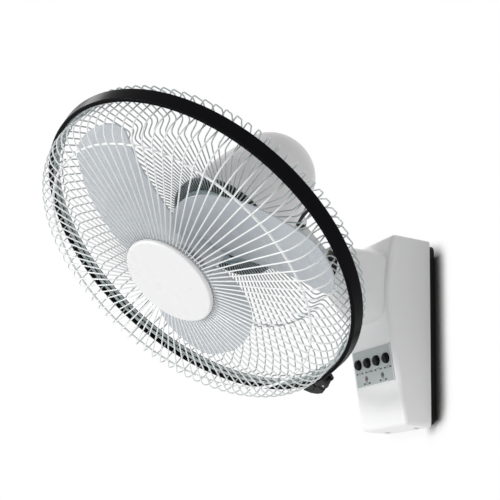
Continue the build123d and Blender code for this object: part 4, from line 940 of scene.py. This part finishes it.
@dataclass
class Studio:
    """The wall, the lamps and the camera, in degrees and metres unless named otherwise."""

    # the camera: turned from the wall, tipped up and rolled
    azimuth: float = 24.6
    pitch: float = 17.0
    roll: float = 2.6
    place: Point3 = (1.13796, -0.77541, -0.29645)
    lens_mm: float = 72.0
    sensor_mm: float = 36.0
    clip: Point2 = (0.01, 50.0)
    # the wall, just behind the plate's back, with an opening that the plate hides and that
    # lets light onto the plate's back
    pale: float = 0.86
    wall_reach_mm: float = 6000.0
    wall_back_mm: float = 0.6
    opening_mm: Point2 = (92.0, 232.0)
    # the painted shadow on the wall along the plate, a dark line from ambient occlusion: how near a
    #  piece has to be, and how open the wall is where the line starts and where it is full
    painted_shadow_colour: Colour = (0.05, 0.047, 0.045)
    contact_mm: float = 42.0
    contact_samples: int = 12
    contact_open: Point2 = (0.85, 0.64)
    # where the painted shadow line fades, from its weak to its full end, and what is left at the weak end
    side_mm: Point2 = (26.0, 40.0)
    side_least: float = 0.10
    head_mm: Point2 = (130.0, 104.0)
    foot_mm: Point2 = (-138.0, -116.0)
    foot_least: float = 0.08
    # the light
    ambient: float = 0.34
    lamp_away: float = 3.0
    lamps: Sequence[Lamp] = (
        Lamp("key", (-0.20, -1.0, 0.06), 12.0, 1.47),
        Lamp("low_fill", (-0.38, -0.82, -0.42), 50.0, 1.05),
        Lamp("right_fill", (0.62, -0.74, -0.26), 60.0, 0.54),
        Lamp("top_strip", (-0.75, -0.25, 0.75), 14.0, 0.25))

    @staticmethod
    def seen(graph: Graph) -> Value:
        """Which rays meet the white background.

        Args:
            graph: The graph of the stage's material or of the world.

        Returns:
            1 for camera, glossy and transmission rays, and otherwise 0.
        """
        share = graph.node("ShaderNodeLightPath", {}, {}, "Is Camera Ray")
        for kind in ("Is Glossy Ray", "Is Transmission Ray"):
            ray = graph.node("ShaderNodeLightPath", {}, {}, kind)
            share = graph.node("ShaderNodeMath", {"operation": "MAXIMUM"}, {0: share, 1: ray})
        return share

    def painted_shadow_line(self, graph: Graph) -> Value:
        """Where the painted shadow lies on the wall: a dark line from ambient occlusion, kept to the plate's
        side.

        Args:
            graph: The stage material's graph.

        Returns:
            1 in the line and 0 outside it.
        """
        openness = graph.node("ShaderNodeAmbientOcclusion", {"samples": self.contact_samples}, {
            "Distance": self.contact_mm * MM}, "AO")
        spot = graph.node("ShaderNodeNewGeometry", {}, {}, "Position")
        across, upward = (graph.node("ShaderNodeSeparateXYZ", {}, {0: spot}, axis) for axis in ("X", "Z"))
        beside = graph.fade(across, *(edge * MM for edge in self.side_mm), self.side_least)
        at_head = graph.fade(upward, *(edge * MM for edge in self.head_mm))
        at_foot = graph.fade(upward, *(edge * MM for edge in self.foot_mm), self.foot_least)
        return graph.fade(openness, *self.contact_open) * beside * at_head * at_foot

    def surface(self, name: str) -> bpy.types.Material:
        """The pale stage material, seen from its front only.

        Args:
            name: The material's name.

        Returns:
            A material that is white where it is seen, apart from a painted shadow along the plate, pale to
            other light, and clear from behind.
        """
        material = bpy.data.materials.new(name)
        graph = Graph(material)
        matte = graph.node("ShaderNodeBsdfDiffuse", {}, {"Color": (self.pale,) * 3})
        # painted shadow: a dark matte shown in the line along the plate
        dark = graph.node("ShaderNodeBsdfDiffuse", {}, {"Color": self.painted_shadow_colour})
        glow = graph.node("ShaderNodeEmission", {}, {"Color": WHITE, "Strength": 1.0})
        near = graph.node("ShaderNodeMixShader", {}, {0: self.painted_shadow_line(graph), 1: glow, 2: dark})
        front = graph.node("ShaderNodeMixShader", {}, {0: self.seen(graph), 1: matte, 2: near})
        clear = graph.node("ShaderNodeBsdfTransparent", {}, {})
        back = graph.node("ShaderNodeNewGeometry", {}, {}, "Backfacing")
        shown = graph.node("ShaderNodeMixShader", {}, {0: back, 1: front, 2: clear})
        graph.close("ShaderNodeOutputMaterial", shown)
        return material

    def sheet(self, name: str, quads: Iterable[Iterable[Point3]]) -> str:
        """A stage surface made of flat quads.

        Args:
            name: The surface's name.
            quads: The corners of each quad, in metres.

        Returns:
            The surface's name.
        """
        mesh = bmesh.new()
        for corners in quads:
            mesh.faces.new([mesh.verts.new(corner) for corner in corners])
        data = bpy.data.meshes.new(name)
        mesh.to_mesh(data)
        mesh.free()
        data.materials.append(self.surface(name))
        made = bpy.data.objects.new(name, data)
        bpy.context.scene.collection.objects.link(made)
        return name

    def wall(self) -> str:
        """The wall in four strips round its opening.

        Returns:
            The wall's name.
        """
        reach, back = self.wall_reach_mm * MM, self.wall_back_mm * MM
        half_x, half_z = (size / 2 * MM for size in self.opening_mm)
        strips = ((-reach, -reach, reach, -half_z), (-reach, half_z, reach, reach),
                  (-reach, -half_z, -half_x, half_z), (half_x, -half_z, reach, half_z))
        return self.sheet("stage_wall", [((x0, back, z0), (x1, back, z0), (x1, back, z1), (x0, back, z1))
                                         for x0, z0, x1, z1 in strips])

    def world(self) -> str:
        """Even light from all round, which is white where it is seen.

        Returns:
            The world's name.
        """
        world = bpy.data.worlds.new("studio")
        bpy.context.scene.world = world
        graph = Graph(world)
        dim, bright = (graph.node("ShaderNodeBackground", {}, {"Color": WHITE, "Strength": strength})
                       for strength in (self.ambient, 1.0))
        sky = graph.node("ShaderNodeMixShader", {}, {0: self.seen(graph), 1: dim, 2: bright})
        graph.close("ShaderNodeOutputWorld", sky)
        return world.name

    def hang(self, lamp: Lamp) -> str:
        """Put up one lamp.

        Args:
            lamp: What it is and where it stands.

        Returns:
            The lamp's name.
        """
        light = bpy.data.lights.new(lamp.name, "SUN")
        light.angle, light.energy = math.radians(lamp.width), lamp.power
        made = bpy.data.objects.new(lamp.name, light)
        made.location = Vector(lamp.toward) * self.lamp_away
        made.rotation_mode = "QUATERNION"
        made.rotation_quaternion = Vector(lamp.toward).to_track_quat("Z", "Y")
        bpy.context.scene.collection.objects.link(made)
        return lamp.name

    def camera(self) -> bpy.types.Object:
        """The camera at the photograph's place, looking up at the fan from its right.

        Returns:
            The camera.
        """
        turn, rise, lean = (math.radians(v) for v in (self.azimuth, self.pitch, self.roll))
        level = Vector((-math.cos(turn), math.sin(turn), 0.0))
        side = Vector((math.sin(turn), math.cos(turn), 0.0))
        ahead = level * math.cos(rise) + Vector((0, 0, math.sin(rise)))
        over = Vector((0, 0, math.cos(rise))) - level * math.sin(rise)
        right = side * math.cos(lean) + over * math.sin(lean)
        above = over * math.cos(lean) - side * math.sin(lean)
        lens = bpy.data.cameras.new("camera")
        lens.lens, lens.sensor_width = self.lens_mm, self.sensor_mm
        lens.clip_start, lens.clip_end = self.clip
        made = bpy.data.objects.new("camera", lens)
        bpy.context.scene.collection.objects.link(made)
        basis = Matrix((right, above, -ahead)).transposed().to_4x4()
        made.matrix_world = Matrix.Translation(self.place) @ basis
        return made

    def build(self) -> list[str]:
        """Set up the wall, the world, the lamps and the camera.

        Returns:
            The names of what was made.
        """
        made = [self.wall(), self.world(), *(self.hang(lamp) for lamp in self.lamps)]
        scene = bpy.context.scene
        scene.camera = self.camera()
        scene.view_settings.view_transform = "Standard"
        return [*made, scene.camera.name]


def main() -> None:
    """Build the dressed fan in order and report each piece."""
    logging.basicConfig(level=logging.INFO, format="%(name)s: %(message)s")
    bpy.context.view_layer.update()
    for assembly in (Fan(), WireGuard(), Console(), Studio()):
        for piece in assembly.build():
            LOG.info("%s: %s", type(assembly).__name__, piece)


if __name__ == "__main__":
    main()
